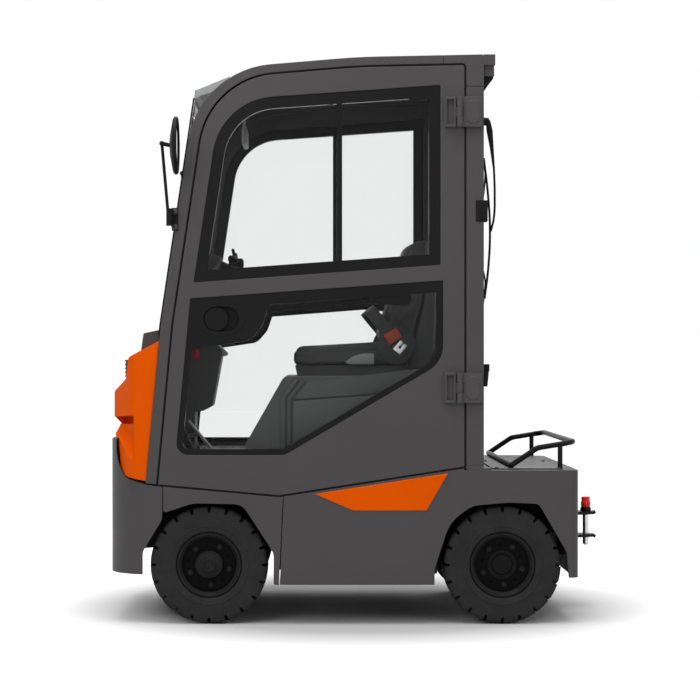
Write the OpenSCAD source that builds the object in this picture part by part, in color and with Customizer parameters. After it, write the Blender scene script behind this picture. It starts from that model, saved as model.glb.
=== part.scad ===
// Airport baggage tug: a short electric tow tractor with a closed two-door cab.
// Millimetres. +X is forward, +Y is the driver's left, +Z is up.
// The origin is on the ground, under the middle of the overall length.

/* [Overall] */
// Distance between the axles
wheelbase = 1134; // [1090:1:1200]
// Front axle to the face of the bumper
front_overhang = 389; // [375:1:420]
// Rear axle to the rear face of the body
rear_overhang = 293; // [285:1:340]
// Width over the body sides and doors
body_w = 1150; // [1130:1:1200]
// Thickness of the outer body panels
panel_t = 18; // [10:1:20]

/* [Wheels] */
// Outside diameter of the tyres
tyre_d = 456; // [440:1:460]
// Width of the tyres
tyre_w = 155; // [140:1:160]
// Distance between the middles of the tyres on one axle
track = 960; // [950:1:970]
// Diameter of the tyre seat on the rim
rim_seat_d = 226; // [210:1:240]
// Height of the rim flange above the tyre seat
rim_flange_h = 10; // [8:1:14]
// Shoulder notches round each side of a tyre
tread_notches = 20; // [16:1:26]
// Wheel nuts on each wheel
wheel_nuts = 5; // [4:1:6]
// Circle that the wheel nuts stand on
nut_circle_d = 158; // [150:1:170]

/* [Axles and steering] */
// Middle of a front tyre in to its king pin
king_pin_offset = 110; // [104:1:116]
// Diameter of the king pins
king_pin_d = 30; // [24:1:36]
// Diameter of the stub axles
stub_axle_d = 44; // [36:1:50]
// Length of the steering arms
steer_arm = 130; // [115:1:140]
// Radial clearance of pins and shafts in their bores
running_gap = 0.05; // [0.02:0.01:0.1]

/* [Cab] */
// Height of the door top at the middle of the roof
door_top_z = 2148; // [2080:1:2200]
// Roof rail above the doors
roof_rail = 40; // [30:1:60]
// Front pillar, seen from the side
front_pillar = 48; // [40:1:60]
// Rear pillar, seen from the side
rear_pillar = 75; // [65:1:85]
// Depth of the cab sides
cab_side_t = 64; // [60:1:70]
// Depth of the pocket that a door lies in
door_pocket = 50; // [48:1:54]
// Gap round a door
door_gap = 8; // [6:1:10]
// Overlap of the door stop behind a door
door_stop = 22; // [16:1:26]
// Radius of the top front corner of a door, as a share of its height over the belt
door_corner_share = 0.396; // [0.36:0.001:0.42]
// Lean of the windscreen, run over rise
screen_lean = 0.149; // [0.13:0.001:0.16]
// Height of the cab floor
floor_z = 640; // [630:1:650]
// Thickness of window glass
glass_t = 6; // [4:1:8]

/* [Doors] */
// Thickness of a door
door_t = 40; // [34:1:42]
// Width of the black frame of the upper window
sash_w = 44; // [36:1:50]
// Width of the black border of the lower window
border_w = 23; // [18:1:28]
// Bar between the two panes of the upper window
sash_bar_w = 20; // [16:1:26]
// Height of each door hinge
hinge_h = 116; // [100:1:130]
// Hinge pin, out from the door skin
hinge_pin_out = 22; // [20:1:26]
// Diameter of the hinge pin
hinge_pin_d = 12; // [10:1:14]
// Radius of the hinge knuckles
hinge_knuckle_r = 11; // [10:1:13]

/* [Tow coupling] */
// Rear face of the body to the tip of the coupling
tow_reach = 146; // [140:1:170]
// Diameter of the tow pin
tow_pin_d = 25; // [20:1:30]
// Top of the upper jaw
jaw_top_z = 394; // [380:1:410]
// Clear height between the jaws
jaw_gap = 81; // [75:1:95]
// Thickness of each jaw
jaw_t = 12; // [10:1:16]

/* [Luggage rail] */
// Diameter of the rail tube
rail_d = 21; // [18:1:26]
// Height of the rail above the deck
rail_h = 112; // [90:1:130]

/* [Hidden] */
$fn = 48;
arc_step = 6;
seat_gap = 0.3;
total_len = front_overhang + wheelbase + rear_overhang + tow_reach;
x_front = total_len / 2;
x_fa = x_front - front_overhang;
x_ra = x_fa - wheelbase;
x_rear = x_ra - rear_overhang;
half_w = body_w / 2;
tyre_r = tyre_d / 2;
wheel_y = track / 2;
king_y = wheel_y - king_pin_offset;
panel_in = half_w - panel_t;

// Lines of the door, seen from the side
x_df = x_fa + 195;
x_dr = x_ra + 149;
x_v = x_fa - 271;
x_mid = (x_fa + x_ra) / 2 - 10;
z_sill_front = 541;
z_sill_v = 499;
z_sill_rear = 610;
z_kink = 1155;
kink_run = 58;
roof_slope_front = 0.083;
roof_slope_rear = 0.02;
sill_slope_front = (z_sill_front - z_sill_v) / (x_df - x_v);
sill_slope_rear = (z_sill_rear - z_sill_v) / (x_v - x_dr);
kink_slope = kink_run / (z_kink - z_sill_front);
cab_rear_x = x_dr - rear_pillar;
deck_z = 595;
skirt_z = 154;
belt_slope = 0.0714;
belt_upper_z = 1365;
belt_lower_z = 1305;
door_corner_r = door_corner_share * (door_top_z - belt_upper_z);
roof_top_z = door_top_z + roof_rail + roof_slope_rear * (x_mid - cab_rear_x);

paint = "#4d4b4c";
orange = "#e05a00";
black = "#1c1c1d";
rubber = "#242424";

// Outlines

function unit(v) = v / norm(v);
function left_of(v) = [-v[1], v[0]];
function xz(p) = [p[0], p[1]];

// Where two lines meet, each given by a point and a direction
function meet(p, u, q, v) = p + u * ((q - p) * left_of(v)) / (u * left_of(v));

// An anticlockwise outline of [x, z, radius] corners, moved inwards by d
function inset(c, d) = [
    for (i = [0 : len(c) - 1])
        let (
            a = xz(c[(i + len(c) - 1) % len(c)]), p = xz(c[i]), b = xz(c[(i + 1) % len(c)]),
            u = unit(p - a), v = unit(b - p),
            m = meet(p + left_of(u) * d, u, p + left_of(v) * d, v)
        )
        [m[0], m[1], max(c[i][2] - d, 0)]
];

// The same corners with each one rounded to its radius
function rounded(c) = [
    for (i = [0 : len(c) - 1])
        let (
            p = xz(c[i]), r = c[i][2],
            u = unit(xz(c[(i + len(c) - 1) % len(c)]) - p), v = unit(xz(c[(i + 1) % len(c)]) - p),
            half = acos(max(-1, min(1, u * v))) / 2,
            turn = 180 - 2 * half
        )
        each (r < 0.5 || turn < 0.5) ? [p] :
            let (
                middle = p + unit(u + v) * r / sin(half),
                s = p + u * r / tan(half) - middle, e = p + v * r / tan(half) - middle,
                n = max(3, ceil(turn / arc_step))
            )
            [for (k = [0 : n]) middle + (s * sin(turn * (1 - k / n)) + e * sin(turn * k / n)) / sin(turn)]
];

// The door's outline, let out by front, top and rear
function side_outline(front, top, rear) =
    let (
        xk = x_df - kink_run + front,
        zm = door_top_z + top,
        xc = (xk - screen_lean * (zm + roof_slope_front * x_mid - z_kink))
            / (1 - screen_lean * roof_slope_front),
        zc = zm - roof_slope_front * (xc - x_mid),
        xr = x_dr - rear
    )
    [
        [x_df + front, z_sill_front + front * sill_slope_front, 0],
        [xk, z_kink, 900],
        [xc, zc, door_corner_r + min(front, top)],
        [x_mid, zm, 2500],
        [xr, zm + roof_slope_rear * (x_mid - xr), 8],
        [xr, z_sill_rear + rear * sill_slope_rear, 0],
        [x_v, z_sill_v, 30]
    ];

door_outline = side_outline(0, 0, 0);

// Black frame of the upper window
window_front = 54;
window_top = 90;
window_rear = 92;
window_slope = 0.07;
upper_outline =
    let (
        xk = x_df - kink_run - window_front,
        zm = door_top_z - window_top,
        xc = (xk - screen_lean * (zm + window_slope * x_mid - z_kink)) / (1 - screen_lean * window_slope),
        xb = (xk - screen_lean * (belt_upper_z - z_kink)) / (1 - screen_lean * belt_slope),
        xr = x_dr + window_rear
    )
    [
        [xb, belt_upper_z - belt_slope * xb, 6],
        [xc, zm - window_slope * (xc - x_mid), door_corner_r - 60],
        [xr, zm - window_slope * (xr - x_mid), 6],
        [xr, belt_upper_z - belt_slope * xr, 6]
    ];

// Black border of the lower window
lower_front = 56;
lower_rear = 82;
lower_bottom_z = 654;
lower_corner_z = 1012;
lower_top_border = 44;
function lower_window(drop) =
    let (
        x_bottom = x_df - kink_slope * (lower_bottom_z - z_sill_front) - lower_front,
        x_top = x_df - kink_slope * (belt_lower_z - 48 - z_sill_front) - lower_front,
        xr = x_dr + lower_rear
    )
    [
        [x_bottom, lower_bottom_z, 45],
        [x_top, belt_lower_z - drop - belt_slope * x_top, 5],
        [xr, belt_lower_z - drop - belt_slope * xr, 5],
        [xr, lower_corner_z, 113],
        [x_v - 23, lower_bottom_z, 60]
    ];
lower_outline = lower_window(0);
lower_inner = lower_window(lower_top_border - border_w);

// Height of the panel edge under the door at x
function sill_at(x) = x > x_v
    ? z_sill_v + (x - x_v) * sill_slope_front - door_gap
    : z_sill_v + (x_v - x) * sill_slope_rear - door_gap;

// Front edge of the cab sides at height z
function screen_x(z) = z < z_kink
    ? x_df + front_pillar - kink_slope * (z - z_sill_front)
    : x_df + front_pillar - kink_run - screen_lean * (z - z_kink);

// Helpers

module plate(corners, y0, y1) {
    translate([0, y1, 0]) rotate([90, 0, 0]) linear_extrude(y1 - y0) polygon(rounded(corners));
}

module both_sides() {
    children();
    mirror([0, 1, 0]) children();
}

module on_side(side) {
    mirror([0, side < 0 ? 1 : 0, 0]) children();
}

module block(low, high) {
    translate(low) cube(high - low);
}

// A rod between two points
module rod(a, b, r) {
    d = b - a;
    translate(a)
        rotate([0, acos(d[2] / norm(d)), atan2(d[1], d[0])])
            cylinder(r = r, h = norm(d));
}

// Rounded rectangle, exact arcs
module soft_square(x0, x1, y0, y1, r) {
    translate([x0 + r, y0]) square([x1 - x0 - 2 * r, y1 - y0]);
    translate([x0, y0 + r]) square([x1 - x0, y1 - y0 - 2 * r]);
    for (x = [x0 + r, x1 - r], y = [y0 + r, y1 - r]) translate([x, y]) circle(r);
}

// Chassis

rail_y1 = king_y - 117;
rail_y0 = rail_y1 - 48;
rail_z0 = 330;
rail_z1 = 450;
front_bulkhead_x = x_fa - 334;
rear_bulkhead_x = x_ra + 253;
bulkhead_t = 20;
tray_z = 195;
tray_half_w = 435;
nose_x = x_front - 57;
pan_z = floor_z - 20;

module frame() {
    color(black) {
        // Rails in front of and behind the battery
        both_sides() {
            block([x_rear + panel_t, rail_y0, rail_z0],
                [rear_bulkhead_x + bulkhead_t, rail_y1, rail_z1]);
            block([front_bulkhead_x, rail_y0, rail_z0], [nose_x, rail_y1, rail_z1]);
        }
        // Bulkheads in front of and behind the battery
        for (x = [front_bulkhead_x, rear_bulkhead_x])
            block([x, -panel_in, tray_z], [x + bulkhead_t, panel_in, z_sill_v - 30]);
        for (x = [front_bulkhead_x, rear_bulkhead_x])
            block([x, -cab_in, z_sill_v - 40], [x + bulkhead_t, cab_in, pan_z]);
        // Brackets of the front fenders
        both_sides() {
            block([front_bulkhead_x, panel_in - 30, 210], [x_fa - 256, panel_in, 400]);
            block([x_fa + 150, rail_y1, tyre_d + 24], [x_fa + 175, panel_in, tyre_d + 60]);
        }
        // Battery tray
        block([rear_bulkhead_x, -tray_half_w, tray_z],
            [front_bulkhead_x + bulkhead_t, tray_half_w, tray_z + 12]);
        both_sides()
            block([rear_bulkhead_x, tray_half_w - 10, tray_z],
                [front_bulkhead_x + bulkhead_t, tray_half_w, rail_z1]);
        // Nose plate behind the bumper
        block([nose_x, -380, 225], [x_front - bumper_t, 380, 520]);
        // Posts that carry the cab floor over the front wheels
        block([x_fa + 150, -cab_in, tyre_d + 24], [x_fa + 175, cab_in, pan_z]);
        block([x_fa + 150, -rail_y1, rail_z1 - 10], [x_fa + 175, rail_y1, tyre_d + 30]);
        // Saddles over the two axles
        both_sides() {
            block([x_fa - 40, rail_y0, axle_z + beam_h / 2], [x_fa + 40, rail_y1, rail_z0 + 5]);
            difference() {
                block([x_ra - 45, rail_y0, axle_z + 10], [x_ra + 45, rail_y1, rail_z0 + 5]);
                rod([x_ra, 0, axle_z], [x_ra, wheel_y, axle_z], axle_tube_r + seat_gap);
            }
        }
        // Cross members at the rear, and the plate that carries the coupling
        block([x_rear + panel_t, -rail_y1, 240], [x_rear + panel_t + 20, rail_y1, rail_z1]);
    }
}

cab_in = half_w - cab_side_t;
axle_z = tyre_r;
beam_h = 84;
beam_l = 96;
axle_tube_r = 58;

// Steered front axle

ear_t = 24;
knuckle_h = 120;
knuckle_r = 34;
ear_r = 34;

module front_axle() {
    color(black) difference() {
        union() {
            block([x_fa - beam_l / 2, -king_y + 60, axle_z - beam_h / 2],
                [x_fa + beam_l / 2, king_y - 60, axle_z + beam_h / 2]);
            both_sides() for (z = [axle_z + knuckle_h / 2 + 1, axle_z - knuckle_h / 2 - 1 - ear_t]) {
                translate([x_fa, king_y, z]) cylinder(r = ear_r, h = ear_t);
                block([x_fa - ear_r, king_y - 80, z], [x_fa + ear_r, king_y, z + ear_t]);
            }
            both_sides() block(
                [x_fa - ear_r, king_y - 80, axle_z - knuckle_h / 2 - 1 - ear_t],
                [x_fa + ear_r, king_y - 48, axle_z + knuckle_h / 2 + 1 + ear_t]);
        }
        both_sides() translate([x_fa, king_y, 0])
            cylinder(d = king_pin_d + 2 * running_gap, h = 2 * axle_z);
    }
}

arm_t = 22;
arm_z = axle_z - 34;
rod_eye_r = 20;
rod_pin_d = 16;
rod_z = arm_z - 20;

// King pin, stub axle and steering arm, for the left wheel
module knuckle() {
    color(black) {
        translate([x_fa, king_y, axle_z - knuckle_h / 2]) cylinder(r = knuckle_r, h = knuckle_h);
        translate([x_fa, king_y, axle_z - knuckle_h / 2 - ear_t - 6])
            cylinder(d = king_pin_d, h = knuckle_h + 2 * ear_t + 12);
        rod([x_fa, king_y, axle_z], [x_fa, wheel_y + hub_bore_end - 2, axle_z], stub_axle_d / 2);
        block([x_fa - steer_arm, king_y - 13, arm_z - arm_t / 2],
            [x_fa, king_y + 13, arm_z + arm_t / 2]);
        translate([x_fa - steer_arm, king_y, arm_z - arm_t / 2]) cylinder(r = rod_eye_r, h = arm_t);
        translate([x_fa - steer_arm, king_y, rod_z - 24])
            cylinder(d = rod_pin_d, h = arm_z - rod_z + 24);
    }
}

// Track rod between the two steering arms
module tie_rod() {
    color(black) difference() {
        union() {
            both_sides() translate([x_fa - steer_arm, king_y, rod_z - 22])
                cylinder(r = rod_eye_r, h = 30);
            rod([x_fa - steer_arm, -king_y, rod_z - 8], [x_fa - steer_arm, king_y, rod_z - 8], 12);
        }
        both_sides() translate([x_fa - steer_arm, king_y, 0])
            cylinder(d = rod_pin_d + 2 * running_gap, h = 2 * axle_z);
    }
}

// Drive axle with its motor

module rear_axle() {
    color(black) {
        both_sides() rod([x_ra, 0, axle_z], [x_ra, wheel_y - tyre_w / 2 + 20, axle_z], axle_tube_r);
        both_sides() rod([x_ra, 0, axle_z], [x_ra, wheel_y + hub_bore_end - 2, axle_z],
            stub_axle_d / 2);
        translate([x_ra, 0, axle_z]) sphere(r = 128);
        rod([x_ra, 0, axle_z], [x_ra - 235, 0, axle_z + 70], 88);
    }
}

module battery() {
    color("#3a4048") block([rear_bulkhead_x + bulkhead_t + 8, -tray_half_w + 22, tray_z + 12.3],
        [front_bulkhead_x - 8, tray_half_w - 22, 840]);
}

// Wheels, drawn about Z with the outer side up

hub_bore_end = 46;
rim_half_w = 74;
disc_z = 43;

rim_profile =
    let (
        seat = rim_seat_d / 2, edge = seat + rim_flange_h, inner = seat - 9,
        bore = stub_axle_d / 2 + running_gap
    )
    [
        [0, hub_bore_end], [bore, hub_bore_end], [bore, -25], [50, -25], [50, 28], [inner, 28],
        [inner, -66],
        [inner + 5, -rim_half_w], [edge, -rim_half_w],
        [edge, -66], [seat, -60], [seat, 60], [edge, 66], [edge, rim_half_w], [edge - 7, rim_half_w],
        [inner + 2, 62], [inner + 2, disc_z]
    ];

front_cap = [[58, disc_z], [53, 61], [48, 66], [38, 69], [0, 70]];
rear_cap = [[58, disc_z], [56, 51], [42, 51], [40, 47], [38, 47], [37, 52], [0, 52]];
nut_turn = 95;

module round_wheel(turn) {
    for (i = [0 : wheel_nuts - 1])
        rotate(nut_turn + turn + i * 360 / wheel_nuts) translate([nut_circle_d / 2, 0, 0]) children();
}

module rim(cap) {
    color(rubber) difference() {
        union() {
            rotate_extrude() polygon(concat(rim_profile, cap));
            round_wheel(0) translate([0, 0, disc_z - 3]) {
                cylinder(r = 13, h = 14, $fn = 6);
                cylinder(r = 7, h = 20);
            }
        }
        // Blind holes between the nuts
        round_wheel(180 / wheel_nuts) translate([0, 0, disc_z - 10]) cylinder(r = 8, h = 20);
    }
}

notch_w = 12;
notch_depth = 24;
notch_pitch = 360 / tread_notches;
lug_steps = 3;
bore_sides = 40;
bore_r = (rim_seat_d / 2 + seat_gap) / cos(180 / bore_sides);
shoulder_y = rim_half_w - 15;
shoulder_r = (rim_seat_d / 2 + rim_flange_h + 3) / cos(180 / bore_sides);
wall_y = tyre_w / 2 - 10;
wall_taper = 0.965;

function polar(r, a) = [r * cos(a), r * sin(a)];
function half_notch(r) = asin(notch_w / 2 / r);
function lug(i) = [
    for (k = [0 : lug_steps])
        polar(tyre_r, i * notch_pitch + half_notch(tyre_r)
            + k * (notch_pitch - 2 * half_notch(tyre_r)) / lug_steps)
];
function notch(i) = [
    for (s = [-1, 1]) polar(tyre_r - notch_depth,
        (i + 1) * notch_pitch + s * half_notch(tyre_r - notch_depth))
];
tread_outline = [for (i = [0 : tread_notches - 1]) each lug(i)];
shoulder_outline = [for (i = [0 : tread_notches - 1]) each concat(lug(i), notch(i))];

module tyre_bore(r) {
    polygon([for (i = [0 : bore_sides - 1]) polar(r, i * 360 / bore_sides)]);
}

// Flat-sided rings: a middle on the rim, and notched shoulders clear of the rim's flanges
module tyre() {
    color(rubber) {
        translate([0, 0, -shoulder_y]) linear_extrude(2 * shoulder_y) difference() {
            polygon(tread_outline);
            tyre_bore(bore_r);
        }
        for (s = [0, 1]) mirror([0, 0, s]) difference() {
            union() {
                translate([0, 0, shoulder_y])
                    linear_extrude(wall_y - shoulder_y) polygon(shoulder_outline);
                translate([0, 0, wall_y]) linear_extrude(tyre_w / 2 - wall_y, scale = wall_taper)
                    polygon(shoulder_outline);
            }
            translate([0, 0, shoulder_y - 1]) linear_extrude(tyre_w) tyre_bore(shoulder_r);
        }
    }
}

module at_wheel(x, side) {
    on_side(side) translate([x, wheel_y, axle_z]) rotate([-90, 0, 0]) children();
}

// Front bumper: a wraparound apron with a raised front lip

bumper_t = 25;
bumper_corner_r = 190;
bumper_z0 = 193;
bumper_lip_z = 713;

module bumper_plan(inset_by) {
    soft_square(x_fa, x_front - inset_by, -half_w + inset_by, half_w - inset_by,
        bumper_corner_r - inset_by);
}

module front_bumper() {
    color(paint) difference() {
        translate([0, 0, bumper_z0]) linear_extrude(bumper_lip_z - bumper_z0) difference() {
            bumper_plan(0);
            bumper_plan(bumper_t);
        }
        // Top edge of the sides, under the hood and the front pillars
        plate([
            [x_fa - 100, 900, 0], [x_fa - 100, 530, 0], [x_fa + 180, 530, 0],
            [x_df + front_pillar, 540, 60],
            [x_front - 57, 566, 60],
            [x_front - bumper_t, 640, 200], [x_front - bumper_t, 900, 0]], -half_w - 1, half_w + 1);
        // Rear edge, round the front wheel
        plate([
            [x_fa - 100, 100, 0], [x_fa + 257, 100, 0], [x_fa + 257, 278, 40], [x_fa + 180, 405, 60],
            [x_fa + 178, 560, 0], [x_fa - 100, 560, 0]], -half_w - 1, half_w + 1);
    }
}

// Hood: a sculpted nose between bumper and windscreen

hood_half_w = half_w - 5;
hood_top_z = 1094;
hood_front_z = 1030;
hood_shell = 14;
hood_foot_z = 553;
hood_gap = 0.8;
corner_run = 84;
corner_in = 150;

hood_rear_x = screen_x(hood_top_z) + hood_gap;

hood_side = [
    [screen_x(hood_foot_z) + hood_gap, hood_foot_z, 0], [x_front - 60, 571, 30],
    [x_front - 42, 600, 20], [x_front - 31, 716, 4],
    [x_front - 14, 727, 8], [x_front - 38, 768, 10], [x_front - 12, 797, 6], [x_front - 12, 897, 14],
    [x_front - 66, 948, 20], [x_front - 76, hood_front_z, 20], [hood_rear_x, hood_top_z, 0]
];

hood_plan = [
    [x_fa + 150, -hood_half_w, 0], [x_front - 8 - corner_run, -hood_half_w, 50],
    [x_front - 8, -hood_half_w + corner_in, 50], [x_front - 8, hood_half_w - corner_in, 50],
    [x_front - 8 - corner_run, hood_half_w, 50], [x_fa + 150, hood_half_w, 0]
];

module hood_form(d) {
    intersection() {
        plate(inset(hood_side, d), -hood_half_w, hood_half_w);
        linear_extrude(1200) polygon(rounded(inset(hood_plan, d)));
    }
}

lamp_y0 = 250;
lamp_y1 = 400;
lamp_z0 = 812;
lamp_z1 = 884;

grille_half_w = 430;
grille_z0 = 955;
grille_z1 = 1020;
slot_top_z = 806;
slot_z = 774;

// Stands on a front corner's bevel: x along it from its rear edge, y out of it
module at_bevel() {
    translate([x_front - 8 - corner_run, hood_half_w, 0])
        rotate(-atan2(corner_in, corner_run)) children();
}

// Air slot, and the scoop under it, with a sloping floor
module corner_intake() {
    at_bevel() {
        plate([[2, slot_z, 0], [190, slot_z - 6, 0], [190, slot_top_z - 9, 0], [2, slot_top_z, 8]],
            -70, 40);
        hull() {
            plate([[2, 626, 0], [158, 742, 0], [158, slot_z + 2, 0], [2, slot_z + 2, 0]], 0, 30);
            plate([[2, 664, 0], [112, slot_z - 4, 0], [112, slot_z + 2, 0], [2, slot_z + 2, 0]],
                -27, -26);
        }
    }
}

module hood() {
    color(orange) difference() {
        hood_form(0);
        // Hollow, open to the firewall
        intersection() {
            hood_form(hood_shell);
            block([0, -600, 0], [x_front - 112, 600, 1300]);
        }
        translate([-hood_shell * 3, 0, -10]) intersection() {
            hood_form(hood_shell);
            block([0, -hood_half_w + 20, 620], [x_front - 92, hood_half_w - 20, 1050]);
        }
        both_sides() corner_intake();
        both_sides() block([x_front - 52, lamp_y0, lamp_z0], [x_front, lamp_y1, lamp_z1]);
        block([x_front - 90, -grille_half_w, grille_z0], [x_front - 40, grille_half_w, grille_z1]);
    }
}

module headlamps() {
    color("white") both_sides()
        block([x_front - 51.5, lamp_y0 + 0.5, lamp_z0 + 0.5],
            [x_front - 16, lamp_y1 - 0.5, lamp_z1 - 0.5]);
}

// Cowl at the foot of the windscreen, with the dark grille of the hood
function hood_top_at(x) = hood_top_z
    - (hood_top_z - hood_front_z) * (x - hood_rear_x) / (x_front - 76 - hood_rear_x) + seat_gap;

module cowl() {
    x0 = screen_x(1137) + 10;
    x1 = x_front - 122;
    half = half_w - 70;
    color(paint) plate([
        [x0, hood_top_at(x0), 0], [x1, hood_top_at(x1), 3], [x1 - 10, 1124, 6], [x0, 1137, 4]
    ], -half, half);
    g = seat_gap;
    color(black) block([x_front - 90 + g, -grille_half_w + g, grille_z0 + g],
        [x_front - 56, grille_half_w - g, grille_z1 - g]);
}

// Fenders and rear body

seam_x = x_v - 18;
seam_gap = 3;
arch_top_z = tyre_d + 14;

module front_fenders() {
    color(paint) both_sides() plate([
        [seam_x + seam_gap, sill_at(seam_x + seam_gap), 0], [seam_x + seam_gap + 16, skirt_z, 0],
        [x_fa - 250, skirt_z, 6],
        [x_fa - 250, 272, 40], [x_fa - 232, 305, 10],
        [x_fa - 128, arch_top_z - 6, 60], [x_fa + 60, arch_top_z - 2, 120], [x_fa + 176, 430, 10],
        [x_fa + 176, sill_at(x_fa + 176), 0], [x_v, sill_at(x_v), 0]
    ], panel_in, half_w);
}

rear_corner_r = 36;

module rear_body() {
    color(paint) difference() {
        union() {
            translate([0, 0, skirt_z]) linear_extrude(deck_z + 30 - skirt_z) difference() {
                soft_square(x_rear, x_v + 100, -half_w, half_w, rear_corner_r);
                soft_square(x_rear + panel_t, x_v + 200, -panel_in, panel_in, rear_corner_r - panel_t);
            }
            translate([0, 0, deck_z - 20]) linear_extrude(20)
                soft_square(x_rear + 5, cab_rear_x - 6, -half_w + 5, half_w - 5, rear_corner_r - 5);
        }
        // Everything above the deck and under the doors
        plate([
            [x_rear - 50, deck_z + 200, 0], [x_rear - 50, deck_z, 0], [x_dr, deck_z, 0],
            [x_dr + 1, sill_at(x_dr + 1), 0], [x_v, sill_at(x_v), 0],
            [x_v + 300, sill_at(x_v + 300), 0],
            [x_v + 300, deck_z + 200, 0]], -half_w - 1, half_w + 1);
        // Seam to the front fenders
        plate([
            [seam_x, 1000, 0], [seam_x, sill_at(seam_x), 0], [seam_x + 16, skirt_z - 20, 0],
            [x_v + 300, skirt_z - 20, 0],
            [x_v + 300, 1000, 0]], -half_w - 1, half_w + 1);
        // Wheel arches
        plate([
            [x_ra + 264, 100, 0], [x_ra + 264, 215, 60], [x_ra + 205, 395, 160],
            [x_ra + 120, arch_top_z - 12, 100],
            [x_ra - 20, arch_top_z + 1, 300], [x_ra - 138, arch_top_z - 4, 30],
            [x_ra - 246, 280, 60], [x_ra - 262, 100, 0]
        ], -half_w - 1, half_w + 1);
        // The tail ends higher than the skirts
        block([x_rear - 50, -half_w - 1, 0], [x_ra - 200, half_w + 1, 181]);
        // Recess for the coupling
        block([x_rear - 1, -120, 200], [x_rear + panel_t - 1, 120, 460]);
    }
}

accent_t = 1.5;

module accent_panels() {
    x0 = x_v - 136;
    x1 = x_v - 652;
    color(orange) both_sides() plate([
        [x0, sill_at(x0) - 8, 0], [x0 - 150, 440, 0], [x0 - 432, 440, 0], [x1, sill_at(x1) - 8, 0]
    ], half_w, half_w + accent_t);
}

cover_x0 = x_rear + 52;
cover_x1 = cab_rear_x - 40;
cover_half_w = 520;
cover_t = 5;

module deck_cover() {
    color(paint) translate([0, 0, deck_z]) linear_extrude(cover_t)
        soft_square(cover_x0, cover_x1, -cover_half_w, cover_half_w, 30);
}

// Tube rail round the deck

rail_side_y = 490;
rail_bend_r = 45;
rail_r = rail_d / 2;
rail_foot_z = deck_z + cover_t;
rail_front_x = cab_rear_x - 116;
rail_back_x = x_rear + 9;
rail_bend_x = rail_front_x - 100;
rail_bend_z = rail_foot_z + rail_h - 34;
rail_top_z = rail_foot_z + rail_h - rail_r;

module tube_bend(turn) {
    rotate_extrude(angle = turn) translate([rail_bend_r, 0]) circle(rail_r + 0.4);
}

module luggage_rail() {
    foot = [rail_front_x, rail_side_y, rail_foot_z + rail_r + 0.5];
    bend = [rail_bend_x, rail_side_y, rail_bend_z];
    corner = [rail_back_x, rail_side_y, rail_top_z];
    rise = atan2(bend[2] - foot[2], foot[0] - bend[0]);
    rise_back = atan2(corner[2] - bend[2], bend[0] - corner[0]);
    u = unit(bend - foot);
    v = unit(corner - bend);
    cut = rail_bend_r * tan((rise - rise_back) / 2);
    lap = 3;
    leg_x = cover_x0 + rail_r;
    color(black) {
        both_sides() {
            rod(foot, bend - u * (cut - lap), rail_r);
            translate(bend - u * cut - rail_bend_r * [sin(rise), 0, cos(rise)])
                rotate([90, 0, 0]) rotate(90 - rise) tube_bend(rise - rise_back);
            rod(bend + v * (cut - lap), corner - v * (rail_bend_r - lap), rail_r);
            translate(corner - v * rail_bend_r - [0, rail_bend_r, 0])
                rotate([0, rise_back, 0]) rotate(90) tube_bend(90);
            translate(foot) sphere(rail_r + 0.5);
            rod([leg_x, rail_side_y, rail_foot_z], [leg_x, rail_side_y, rail_top_z - 8], rail_r - 1);
        }
        rod([rail_back_x, rail_bend_r - rail_side_y - lap, rail_top_z],
            [rail_back_x, rail_side_y - rail_bend_r + lap, rail_top_z], rail_r);
        rod([rail_front_x, -rail_side_y, foot[2]], foot, rail_r);
    }
}

module tail_lamps() {
    color("red") both_sides() for (z = [500, 420])
        rod([x_rear, 455, z], [x_rear - 22, 455, z], 36);
}

// Tow coupling

tow_pin_x = x_rear - tow_reach + 40;
jaw_low_top_z = jaw_top_z - jaw_t - jaw_gap;
pin_collar_h = 16;

module tow_coupling() {
    color(black) difference() {
        union() {
            block([x_rear - 14, -110, 210], [x_rear + panel_t - 1.3, 110, 450]);
            for (z = [jaw_top_z - jaw_t, jaw_low_top_z - jaw_t]) {
                translate([0, 0, z]) linear_extrude(jaw_t) {
                    translate([tow_pin_x, 0]) circle(r = 36);
                    polygon([[x_rear - 14, -80], [tow_pin_x - 10, -35], [tow_pin_x - 10, 35],
                        [x_rear - 14, 80]]);
                }
            }
            // Flared lips that guide a drawbar eye between the jaws
            translate([tow_pin_x - 30, 0, jaw_top_z - jaw_t]) rotate([0, 25, 0])
                block([-12, -22, 0], [2, 22, jaw_t]);
            translate([tow_pin_x - 30, 0, jaw_low_top_z]) rotate([0, -25, 0])
                block([-12, -22, -jaw_t], [2, 22, 0]);
            // Side cheeks
            both_sides() block([x_rear - 60, 60, jaw_low_top_z - 1],
                [x_rear - 14, 72, jaw_top_z - jaw_t + 1]);
        }
        translate([tow_pin_x, 0, 0]) cylinder(d = tow_pin_d + 2 * running_gap, h = 600);
    }
}

module tow_pin() {
    translate([tow_pin_x, 0, 0]) {
        color("silver") {
            translate([0, 0, jaw_low_top_z - jaw_t - 34])
                cylinder(d = tow_pin_d, h = jaw_top_z - jaw_low_top_z + jaw_t + 50);
            translate([0, 0, jaw_low_top_z - jaw_t - 40])
                cylinder(d1 = tow_pin_d - 10, d2 = tow_pin_d, h = 6.5);
        }
        color(black) translate([0, 0, jaw_top_z + seat_gap]) cylinder(r = 22, h = pin_collar_h);
        color("red") translate([0, 0, jaw_top_z + pin_collar_h]) rotate_extrude() polygon(rounded([
            [0, 0, 0], [19, 0, 5], [20, 24, 6], [17, 30, 3], [18, 44, 6], [0, 44, 0]]));
    }
}

// Cab shell

flange_h = 20;

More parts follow.
